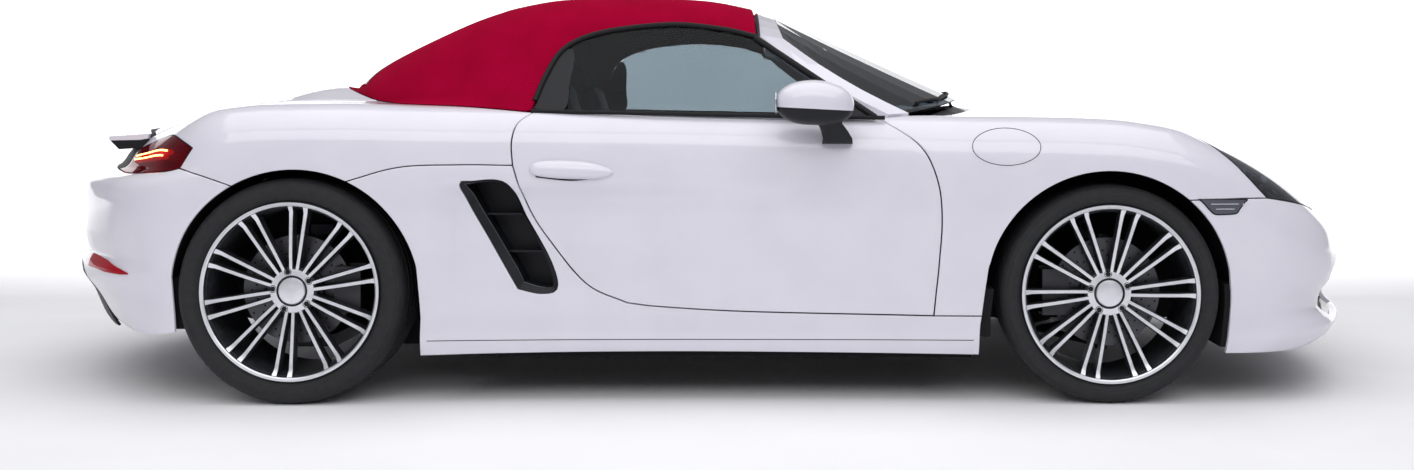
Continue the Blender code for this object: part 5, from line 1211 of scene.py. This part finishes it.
def tail_lamps():
    """Smoked red lens over a dark bowl; two lit guides run back along the lamp and round on to the tail."""
    lens = patch(lamp_bottom, lamp_top, lamp_nose, lamp_end)
    rows = lens.shape[1] - 1
    for side, flip in (("left", 1), ("right", -1)):
        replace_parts(skin(f"tail_lens_{side}", [lens], TAIL_LENS, "body", "red_lens", gap=.005, thick=.003,
                         flip=flip, roll=.0012, lift=.001), f"tail_lamp_{side}")
        skin(f"tail_bowl_{side}", [lens], TAIL_BOWL, "body", "red_lens", gap=.006, thick=.003, flip=flip,
             lift=-.024, roll=.0008)
        collar(f"tail_wall_{side}", lens_path(lens), .026, TAIL_BOWL, "red_lens", flip)
        edge = np.vstack([lens[::-1, 0], lens[0, 1:], lens[1:, -1]])
        seam_line(f"tail_rim_{side}", edge + inward(edge) * .0022, SEAL, "body", "black_plastic", .0022,
                  flip, 8)
        for k, (share, start, end) in enumerate(((.60, .24, .90), (.47, .27, .90))):
            u = np.linspace(start, end, 50) * (len(lens) - 1)
            v = share * rows
            low = np.array([np.interp(u, np.arange(len(lens)), lens[:, int(v), a]) for a in range(3)]).T
            high = np.array([np.interp(u, np.arange(len(lens)), lens[:, int(v) + 1, a]) for a in range(3)]).T
            path = low + (high - low) * (v - int(v))
            seam_line(f"tail_guide_{k}_{side}", path, GLOW, "body", "red_lens", .0030, flip, 8)
            seam_line(f"tail_halo_{k}_{side}", path + inward(path) * .012, HALO, "body", "red_lens",
                      .0085, flip, 8)


def headlamps():
    """Clear smoked lens over a dark bowl with one round projector and two bright light guides."""
    lens = lamp_grid()
    n, m = lens.shape[:2]
    middle = lens[n // 2, m // 2]
    for side, flip in (("left", 1), ("right", -1)):
        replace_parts(skin(f"lamp_lens_{side}", [lens], CLEAR_LENS, "body", "clear_lens", gap=.005,
                         thick=.003, flip=flip, roll=.0012), f"headlamp_{side}")
        skin(f"lamp_bowl_{side}", [lens], DARK, "body", "black_plastic", gap=.005, thick=.004, flip=flip,
             lift=-.040, roll=.001)
        collar(f"lamp_wall_{side}", lens_path(lens), .042, DARK, "black_plastic", flip)
        edge = lens_path(lens)
        edge = np.vstack([edge, edge[:2]])
        seam_line(f"lamp_rim_{side}", edge + inward(edge) * .0022, SEAL, "body", "black_plastic", .0028,
                  flip, 8)
        aim = middle + inward(middle[None])[0] * .032
        for k, (out, r, finish) in enumerate(((0, .030, CHROME), (.006, .0245, CLEAR_LENS))):
            ball = lathe([(.0004, -.016 + out), (r, -.016 + out), (r, .002 + out), (r * .8, .007 + out),
                          (r * .45, .010 + out), (.0004, .011 + out)], 48, axis="x")
            ball = (ball[0] + aim + (.004, 0, 0), ball[1])
            made_mesh(f"lamp_projector_{k}_{side}", *flipped(ball, flip), finish, "body", "clear_lens")
        for k, share in enumerate((.30, .72)):
            path = lens[n // 6:-n // 6, int(share * m)]
            seam_line(f"lamp_guide_{k}_{side}", path + inward(path) * .016, CHROME, "body",
                      "machined_alloy", .0026, flip, 8)


# height and ends of each blade in a side intake
BLADES = ((.571, -.652, -.520), (.457, -.592, -.455))


def side_intakes():
    """The duct mouth in each side panel: a broad dark lip, a light line inside it and two level blades."""
    outline = intake_outline()
    turn = np.arange(len(outline)) / len(outline)
    wide = np.interp(turn, (0, .05, .30, .42, .60, .86, 1), (.026, .030, .026, .008, .007, .016, .026))
    faced, edge = raised(shrunk(outline, .0016), -.0016), raised(shrunk(outline, wide), -.0090)
    deep = edge * (1, 0, 1) + (0, .752, 0)
    back = faced * (1, 0, 1) + (0, .749, 0)
    count = len(outline)
    faces = ring_faces(count, ((0, 1), (1, 2), (2, 3)))
    rings = np.vstack([back, faced, edge, deep])
    shape = (rings, [*faces, list(range(count))[::-1], list(range(3 * count, 4 * count))])
    for side, flip in (("left", 1), ("right", -1)):
        made = made_mesh(f"intake_lip_{side}", *flipped(shape, flip), DARK, "body", "black_plastic", 35)
        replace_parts(made, f"side_intake_{side}")
        bright = np.vstack([edge[-6:], edge[:30]])
        seam_line(f"intake_line_{side}", bright + (0, .0006, 0), STEEL, "body", "machined_alloy", .0012, flip)
        for z, x0, x1 in BLADES:
            face = side_y(np.array([(x0 + x1) / 2]), np.array([z]))[0] - .022
            made_mesh(f"intake_blade_{int(z * 1000)}_{side}",
                      *flipped(box((x0, .752, z - .003), (x1, face, z + .003)), flip), DARK, "body",
                      "black_plastic")


def two_tone(made, place, way):
    """Cuts a mesh along a plane and gives what lies behind it the second material."""
    work = bmesh.new()
    work.from_mesh(made.data)
    bmesh.ops.bisect_plane(work, geom=[*work.verts, *work.edges, *work.faces], plane_co=place, plane_no=way)
    for face in work.faces:
        middle = face.calc_center_median()
        face.material_index = int(sum((m - q) * w for m, q, w in zip(middle, place, way)) < 0)
    work.to_mesh(made.data)
    work.free()


# door mirror: its middle, its half sizes and where its back is cut flat for the glass
MIRROR_AT = (.369, .924, .9105)
MIRROR_HALF = (.117, .0715, .067)
MIRROR_BACK_X = .2535


def mirrors():
    """Door mirrors: a rounded housing, white above and dark below, silvered glass behind and a dark foot."""
    rows, around = 25, 48
    u, v = np.meshgrid(np.linspace(-pi / 2, pi / 2, rows), np.linspace(0, 2 * pi, around, endpoint=False),
                       indexing="ij")

    def power(t, p):
        return np.sign(t) * np.abs(t) ** p

    across, round_x, round_z = power(np.sin(u), .8), np.cos(u) ** .8, np.cos(u) ** .8
    x = MIRROR_AT[0] + MIRROR_HALF[0] * round_x * power(np.cos(v), .85)
    droop = .008 * np.clip((x - MIRROR_AT[0]) / MIRROR_HALF[0], 0, 1)
    z = MIRROR_AT[2] + MIRROR_HALF[2] * round_z * power(np.sin(v), .9) - droop
    y = MIRROR_AT[1] + MIRROR_HALF[1] * across
    x = np.maximum(x, MIRROR_BACK_X)
    points = np.stack([x, y, z], -1).reshape(-1, 3)
    faces = ring_faces(around, [(k, k + 1) for k in range(rows - 1)])
    eight = ((-1, -.6), (-.6, -1), (.6, -1), (1, -.6), (1, .6), (.6, 1), (-.6, 1), (-1, .6))
    stations = ((.413, .925, .872, .036), (.414, .915, .848, .036), (.428, .893, .825, .040),
                (.438, .872, .802, .044), (.438, .860, .786, .046))
    foot = loft([[(foot_x + dx * half, foot_y + dy * .022, foot_z) for dx, dy in eight]
                 for foot_x, foot_y, foot_z, half in stations])
    turn = np.linspace(0, 2 * pi, 49)[:-1]
    pane = [[(px, MIRROR_AT[1] + .044 * power(np.cos(t), .8), .911 + .034 * power(np.sin(t), .8))
             for t in turn] for px in (MIRROR_BACK_X + .001, MIRROR_BACK_X - .0007)]
    for side, flip in (("left", 1), ("right", -1)):
        body = f"door_{side}"
        made = made_mesh(f"mirror_shell_{side}", *flipped((points, faces), flip), [PAINT, DARK], body,
                         "car_paint_white")
        two_tone(made, (.36, 0, .892), (.05, 0, 1))
        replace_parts(made, f"mirror_{side}")
        made_mesh(f"mirror_foot_{side}", *flipped(foot, flip), DARK, body, "black_plastic", 60)
        made_mesh(f"mirror_glass_{side}", *flipped(loft(pane), flip), MIRROR, body, "clear_lens")


def spoiler():
    """The blade that trails from the tail strip: rings across it with a rounded nose, dark beneath."""
    across = np.linspace(-.56, .56, 61)
    edge = strip_top[np.argsort(strip_top[:, 1])]
    root_x = np.interp(np.abs(across), edge[:, 1], edge[:, 0])
    root_z = np.interp(np.abs(across), edge[:, 1], edge[:, 2])
    tip, height = -2.020 + .34 * across ** 2, .8160 - .040 * across ** 2
    blade = [(root_x - .012, root_z + .006), (tip + .030, height), (tip + .004, height - .001),
             (tip, height - .006), (tip + .003, height - .015), (root_x - .040, root_z - .014),
             (root_x - .018, root_z - .010)]
    under = [(tip + .006, height - .0155), (root_x - .040, root_z - .0145), (root_x - .018, root_z - .0105),
             (root_x - .022, root_z - .040), (tip + .034, height - .044)]
    shapes = [loft(np.stack([np.column_stack([x, across, z]) for x, z in marks], 1))
              for marks in (blade, under)]
    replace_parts(made_mesh("spoiler_blade", *shapes[0], PAINT, "body", "car_paint_white", 35), "rear_spoiler")
    made_mesh("spoiler_underside", *shapes[1], DARK, "body", "black_plastic", 35)


# how far forward the windscreen's foot lies, by distance from the middle
SCREEN_FOOT = ((0, .25, .45, .62, .72), (.872, .858, .805, .715, .655))


def wipers():
    """Two parked wipers near the screen's foot: a sprung blade on the glass and its arm from the cowl."""
    for name, start, end, pivot_y in (("left", .56, -.02, .50), ("right", -.06, -.62, -.02)):
        y = np.linspace(start, end, 30)
        blade = on_screen(np.column_stack([np.interp(np.abs(y), *SCREEN_FOOT) - .022, y]))
        off = np.array([[.45, 0, .89]] * len(y))
        seam_line(f"wiper_blade_{name}", blade + off * .006, SEAL, "body", "black_plastic",
                  .004 + .003 * np.sin(np.linspace(0, pi, 30)), 1, 8)
        pivot = np.array([np.interp(abs(pivot_y), *SCREEN_FOOT) + .012, pivot_y, .888])
        share = np.linspace(0, 1, 16)[:, None]
        arm = pivot + (blade[15] + off[15] * .018 - pivot) * share + (0, 0, .004) * np.sin(share * pi)
        seam_line(f"wiper_arm_{name}", arm, SEAL, "body", "black_plastic", .006 - .002 * share[:, 0], 1, 8)


def on_screen(xy):
    """Points on the windscreen under rays that fall at these (x, y)."""
    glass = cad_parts["screen_glass"]
    points = [glass.matrix_world @ v.co for v in glass.data.vertices]
    tree = BVHTree.FromPolygons(points, [list(f.vertices) for f in glass.data.polygons])
    hits = [tree.ray_cast((x, y, 2.0), (0, 0, -1))[0] for x, y in xy]
    return np.array([h if h is not None else (x, y, .88) for h, (x, y) in zip(hits, xy)])


ROCKER_LINE_Z = .192


def rocker_lines():
    """The pressed groove low along each side, drawn as a thin black bead: painted shade of the groove."""
    x = np.linspace(-.80, .85, 60)
    for side, flip in (("left", 1), ("right", -1)):
        # the black bead is painted shade where the pressed groove lies
        line = raised(np.column_stack([x, np.full(len(x), ROCKER_LINE_Z)]), -.0006)
        seam_line(f"rocker_groove_shade_{side}", line, SEAL, "body", "black_plastic", .0014, flip)


# the arch flaps' inner and outer side, and how far they reach behind a panel's edge
FLAP_IN_Y, FLAP_OUT_Y, FLAP_LAP = .72, .845, .030


def arch_flaps():
    """The liners' feet below the arches: black strips from behind each panel's edge toward the tyre."""
    for name, line, reach, low, high in (("front_rear", front_arch_low, .026, .200, .345),
                                         ("front_nose", front_arch_nose, -.015, .170, .360),
                                         ("rear_tail", rear_arch_back, .022, .224, .380)):
        z = np.linspace(high, low, 16)
        order = np.argsort(line[:, 2])
        edge = np.interp(z, line[order, 2], line[order, 0])
        behind = edge - np.sign(reach) * FLAP_LAP
        outline = np.vstack([np.column_stack([behind, z]), np.column_stack([edge + reach, z])[::-1]])
        for side, flip in (("left", 1), ("right", -1)):
            made_mesh(f"arch_flap_{name}_{side}", *flipped(prism(outline, FLAP_IN_Y, FLAP_OUT_Y), flip),
                      LINER, "body", "black_plastic", 30)


def fittings():
    for step in (window_seals, door_handles, fuel_flap, side_markers, reflectors, tail_lamps, headlamps,
                 side_intakes, mirrors, spoiler, wipers, rocker_lines, arch_flaps):
        step()


# Cabin fittings


# how far the driver's place lies from the middle, and the height of the dials
DRIVER_Y, DIAL_Z = .37, .832


def pad(name, stations, finish, body, slot, channels=0, around=40):
    """A stuffed piece: rounded sections along a path, crowned, with a raised bolster down each side.

    Each station gives x, y, z, half width, half thickness, bolster, and the x and z of the way it faces. A
    section's height at share s of its half width is
    thickness * (1 + .18 (1 - s^2)) + bolster * exp(-((|s| - .8) / .13)^2).
    """
    sections = 36
    turn = np.linspace(0, 2 * pi, around, endpoint=False)
    wide = np.sign(np.cos(turn)) * np.abs(np.cos(turn)) ** .55
    high = np.sign(np.sin(turn)) * np.abs(np.sin(turn)) ** .7
    rings = []
    for k, (x, y, z, half, thick, bolster, fx, fz) in enumerate(through(stations, sections)):
        rise = thick * high * (1 + .18 * (1 - wide ** 2) * (high > 0))
        rise = rise + bolster * np.exp(-((np.abs(wide) - .8) / .13) ** 2) * np.clip(high, 0, 1)
        if channels:
            stitched = np.abs(np.cos(pi * channels * k / (sections - 1))) ** 12
            rise = rise - .004 * stitched * (high > 0) * (np.abs(wide) < .62)
        way = np.array((fx, 0, fz)) / np.hypot(fx, fz)
        rings.append(np.array((x, y, z)) + half * wide[:, None] * np.array((0, 1, 0)) + rise[:, None] * way)
    made = made_mesh(name, *loft(rings), finish, body, slot, 60)
    return made


def seats():
    """Two sports seats: cushion, backrest and head rest, each a stuffed leather piece."""
    for side, y in (("left", DRIVER_Y), ("right", -DRIVER_Y)):
        pad(f"seat_cushion_{side}", [(.352, y, .290, .150, .020, .0, .3, 1),
                                     (.340, y, .300, .205, .046, .010, .2, 1),
                                     (.22, y, .300, .222, .056, .030, .05, 1),
                                     (.02, y, .287, .228, .058, .036, 0, 1),
                                     (-.14, y, .278, .222, .052, .030, 0, 1),
                                     (-.20, y, .276, .190, .030, .0, 0, 1)], LEATHER, "body",
            "black_leather", 5)
        back = pad(f"seat_back_{side}", [(-.245, y, .262, .170, .030, .0, 1, .3),
                                         (-.262, y, .300, .215, .050, .016, 1, .25),
                                         (-.315, y, .460, .232, .058, .046, 1, .3),
                                         (-.375, y, .640, .228, .054, .046, 1, .3),
                                         (-.425, y, .775, .190, .044, .018, 1, .3),
                                         (-.445, y, .822, .130, .026, .0, 1, .3)], LEATHER, "body",
                   "black_leather", 6)
        pad(f"head_rest_{side}", [
            (-.448, y, .828, .080, .016, .0, 1, .2), (-.456, y, .845, .118, .034, .004, 1, .2),
            (-.474, y, .905, .128, .040, .006, 1, .2), (-.488, y, .958, .112, .032, .004, 1, .2),
            (-.492, y, .978, .070, .014, .0, 1, .2)], LEATHER, "body", "black_leather")
        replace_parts(back, f"seat_{side}")
        made_mesh(f"seat_base_{side}", *box((-.30, y - .19, .1603), (.30, y + .19, .232)), LINER, "body",
                  "black_leather")


# steering wheel: its middle, its lean, the rim's radius and the radius of its grip
STEER_AT = (.25, DRIVER_Y, .790)
STEER_LEAN_DEG = 24
STEER_R, STEER_GRIP_R = .178, .0145


def steering_wheel():
    """Leather rim, three spokes and a padded boss, all turning on the column."""
    turn = np.linspace(0, 2 * pi, 20, endpoint=False)
    grip = np.column_stack([STEER_R + STEER_GRIP_R * np.cos(turn), STEER_GRIP_R * np.sin(turn)])
    ring = lathe(grip, 72, axis="x")
    boss = lathe([(.0004, -.032), (.030, -.031), (.052, -.024), (.058, -.010), (.055, .018), (.040, .045),
                  (.0004, .045)], 48, axis="x")
    hub_end = ((-.012, 0), (.008, 0), (.008, .026), (-.012, .026))
    rim_end = ((-.008, 0), (.006, 0), (.006, .018), (-.008, .018))
    spokes = [loft([[(dx, a * .045, b - .013) for dx, b in hub_end],
                    [(dx, a * .172, b - .008) for dx, b in rim_end]]) for a in (1, -1)]
    down = loft([[(dx, w, -.045) for dx, w in ((-.011, -.016), (.008, -.016), (.008, .016), (-.011, .016))],
                 [(dx, w, -.170) for dx, w in ((-.007, -.010), (.006, -.010), (.006, .010), (-.007, .010))]])
    column = lathe([(.0004, .040), (.020, .040), (.020, .088), (.0004, .088)], 24, axis="x")
    points, faces, owner = merged(ring, boss, *spokes, down, column)
    lean = radians(STEER_LEAN_DEG)
    turned = np.column_stack([cos(lean) * points[:, 0] + sin(lean) * points[:, 2], points[:, 1],
                              -sin(lean) * points[:, 0] + cos(lean) * points[:, 2]])
    made = made_mesh("wheel_rim_leather", turned + STEER_AT, faces, [LEATHER, DARK, CAST], "steering_wheel",
                     "black_leather", 40, [(0, 1, 2, 2, 2, 1)[o] for o in owner])
    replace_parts(made, "steering_wheel")


def dashboard():
    """What stands on the dashboard: hooded dials, vents, a screen, and the console with its lever."""
    arch = np.linspace(0, pi, 21)
    hood = [[(x, DRIVER_Y + r * 1.32 * np.cos(a), .800 + r * .70 * np.sin(a)) for a in arch]
            for x, r in ((.418, .098), (.425, .104), (.500, .104), (.560, .080))]
    made_mesh("dial_hood", *loft(hood), LEATHER, "body", "black_leather")
    for k, (y, r) in enumerate(((DRIVER_Y, .040), (.447, .030), (.293, .030))):
        dial = lathe([(.0004, .408), (r - .004, .408), (r - .004, .4155), (r, .4155), (r, .420),
                      (.0004, .420)], 40, (0, y, DIAL_Z), "x")
        made_mesh(f"dial_{k}", dial[0], dial[1], [SMOKED, CHROME], "body", "black_leather", 30,
                  [int(q % 6 in (1, 2, 3)) for q in range(len(dial[1]))])
        needle = tube([(.4068, y, DIAL_Z), (.4068, y - r * .5, DIAL_Z + r * .45)], .0011, 6)
        made_mesh(f"dial_needle_{k}", *needle, GLOW, "body", "black_leather")
    for k, y in enumerate((-.58, -.13, .13, .60)):
        ring = lathe([(.026, .418), (.034, .418), (.034, .440), (.026, .440)], 36, (0, y, .735), "x")
        made_mesh(f"vent_ring_{k}", *ring, CHROME, "body", "machined_alloy")
        slats, faces, _ = merged(*[box((.424, y - .0255, z - .0012), (.440, y + .0255, z + .0012))
                                   for z in np.linspace(.718, .752, 4)])
        made_mesh(f"vent_slats_{k}", slats, faces, BLACK, "body", "black_plastic")
    made_mesh("centre_screen", *box((.418, -.088, .655), (.428, .088, .705)), SMOKED, "body", "black_plastic")
    console = [(-.20, .30), (-.24, .40), (-.16, .432), (.06, .430), (.22, .455), (.36, .560),
               (.432, .645), (.445, .60), (.445, .30)]
    made_mesh("console", *prism(console, -.105, .105), LEATHER, "body", "black_leather")
    made_mesh("console_plate", *box((-.02, -.060, .431), (.15, .060, .4365)), STEEL, "body", "machined_alloy")
    lever = tube([(.075, 0, .435), (.070, 0, .480), (.060, 0, .515)], (.030, .014, .010), 16)
    made_mesh("lever_boot", *lever, LEATHER, "body", "black_leather")
    knob = lathe([(.0004, .505), (.012, .506), (.022, .520), (.025, .540), (.020, .556), (.0004, .562)],
                 32, (.058, 0, 0), "z")
    made_mesh("lever_knob", *knob, CAST, "body", "machined_alloy")


def door_cards():
    """The inner door panel with its arm rest and speaker ring."""
    grid = door_grid()
    for side, flip in (("left", 1), ("right", -1)):
        body = f"door_{side}"
        skin(f"door_card_{side}", [grid], LEATHER, body, "black_leather", gap=.020, thick=.027, flip=flip,
             straight=(0, -1, 0), lift=-.0612, roll=.004)
        section = ((0, -1), (1, -1), (1.15, -.3), (1.15, .5), (1, 1), (0, 1))
        stations = ((-.30, .010, .018), (-.24, .038, .028), (.10, .042, .028), (.30, .020, .018))
        rest = loft([[(x, .765 - a * d, .575 + b * h) for a, b in section] for x, d, h in stations])
        made_mesh(f"arm_rest_{side}", *flipped(rest, flip), LEATHER, body, "black_leather", 50)
        ring = lathe([(.060, .742), (.078, .742), (.078, .766), (.060, .766)], 48, (.50, 0, .400))
        made_mesh(f"speaker_ring_{side}", *flipped(ring, flip), BLACK, body, "black_plastic")
        cloth = lathe([(.0004, .746), (.061, .746), (.061, .764), (.0004, .764)], 48, (.50, 0, .400))
        made_mesh(f"speaker_cloth_{side}", *flipped(cloth, flip), LINER, body, "black_plastic")


def headliner():
    """Black felt inside the fabric top."""
    sheets, _ = top_sheets()
    for k, grid in enumerate(sheets[:2]):
        skin(f"headliner_{k}", both([grid]), LINING, "body", "red_canvas", gap=.008, thick=.002,
             field=cabin_field, roll=.0006, lift=-.0150)


def cabin_fittings():
    for step in (seats, steering_wheel, dashboard, door_cards, headliner):
        step()


# Studio


# how far behind the car's middle line the paper begins to be lit through, and where it is fully lit
GLOW_FROM_Y, GLOW_FULL_Y = 1.4, 4.5


def studio():
    """White paper swept from the floor up behind the car and lit through there, and three soft lights."""
    turn = np.linspace(0, pi / 2, 25)
    profile = np.vstack([[(-14, 0)], np.column_stack([9 + 4 * np.sin(turn), 4 - 4 * np.cos(turn)]),
                         [(13, 5)]])
    across = np.array([-15, 15])
    points = [(x, y, z) for x in across for y, z in profile]
    n = len(profile)
    faces = [(k, k + 1, n + k + 1, n + k) for k in range(n - 1)]
    sweep = bpy.data.meshes.new("paper_sweep")
    sweep.from_pydata(points, [], faces)
    pale, tree, shader = finish_of("paper_white_matt", "#F7F7F9", .95, Specular_IOR_Level=.1)
    shader.inputs["Emission Color"].default_value = colour("#FFFFFF")
    mottle(tree, shader, "#F5F5F7", "#F9F9FB", 2)
    place = node(tree, "ShaderNodeTexCoord")
    parts = node(tree, "ShaderNodeSeparateXYZ", [(place.outputs["Object"], "Vector")])
    glow = node(tree, "ShaderNodeMapRange", [(parts.outputs["Y"], "Value")], From_Min=GLOW_FROM_Y,
                From_Max=GLOW_FULL_Y, To_Max=1.0)
    tree.links.new(glow.outputs["Result"], shader.inputs["Emission Strength"])
    sweep.materials.append(pale)
    sweep.polygons.foreach_set("use_smooth", np.ones(len(faces), bool))
    ground = bpy.data.objects.new("paper_sweep", sweep)
    bpy.context.scene.collection.objects.link(ground)
    bpy.context.scene.view_settings.view_transform = "Standard"
    world = bpy.data.worlds.new("studio")
    bpy.context.scene.world = world
    world.use_nodes = True
    world.node_tree.nodes["Background"].inputs["Color"].default_value = colour("#F4F4FA")
    world.node_tree.nodes["Background"].inputs["Strength"].default_value = .36
    for name, place, size, power, turned in (
            ("key", (0, -1.0, 4.6), (8, 5), 170, (10, 0, 0)),
            ("near_side", (0, -6.5, 4.8), (10, 3), 190, (52, 0, 0)),
            ("paper", (0, 5.0, 5.0), (12, 3), 150, (35, 0, 0))):
        light = bpy.data.lights.new(name, "AREA")
        light.shape, light.size, light.size_y, light.energy = "RECTANGLE", *size, power
        made = bpy.data.objects.new(name, light)
        made.location, made.rotation_euler = place, [radians(a) for a in turned]
        bpy.context.scene.collection.objects.link(made)


def camera():
    """Level with the side windows' lower edge and 5 m from the car's middle line, with a shifted lens."""
    lens = bpy.data.cameras.new("camera")
    lens.sensor_width, lens.lens = 36, 34.9
    lens.shift_x, lens.shift_y = -.0599, -.0917
    made = bpy.data.objects.new("camera", lens)
    made.location = (.30, -5.0, .902)
    made.rotation_euler = (radians(90), 0, 0)
    bpy.context.scene.collection.objects.link(made)
    bpy.context.scene.camera = made


body_panels()
fabric_top()
wheels()
fittings()
cabin_fittings()
carried_over()
studio()
camera()
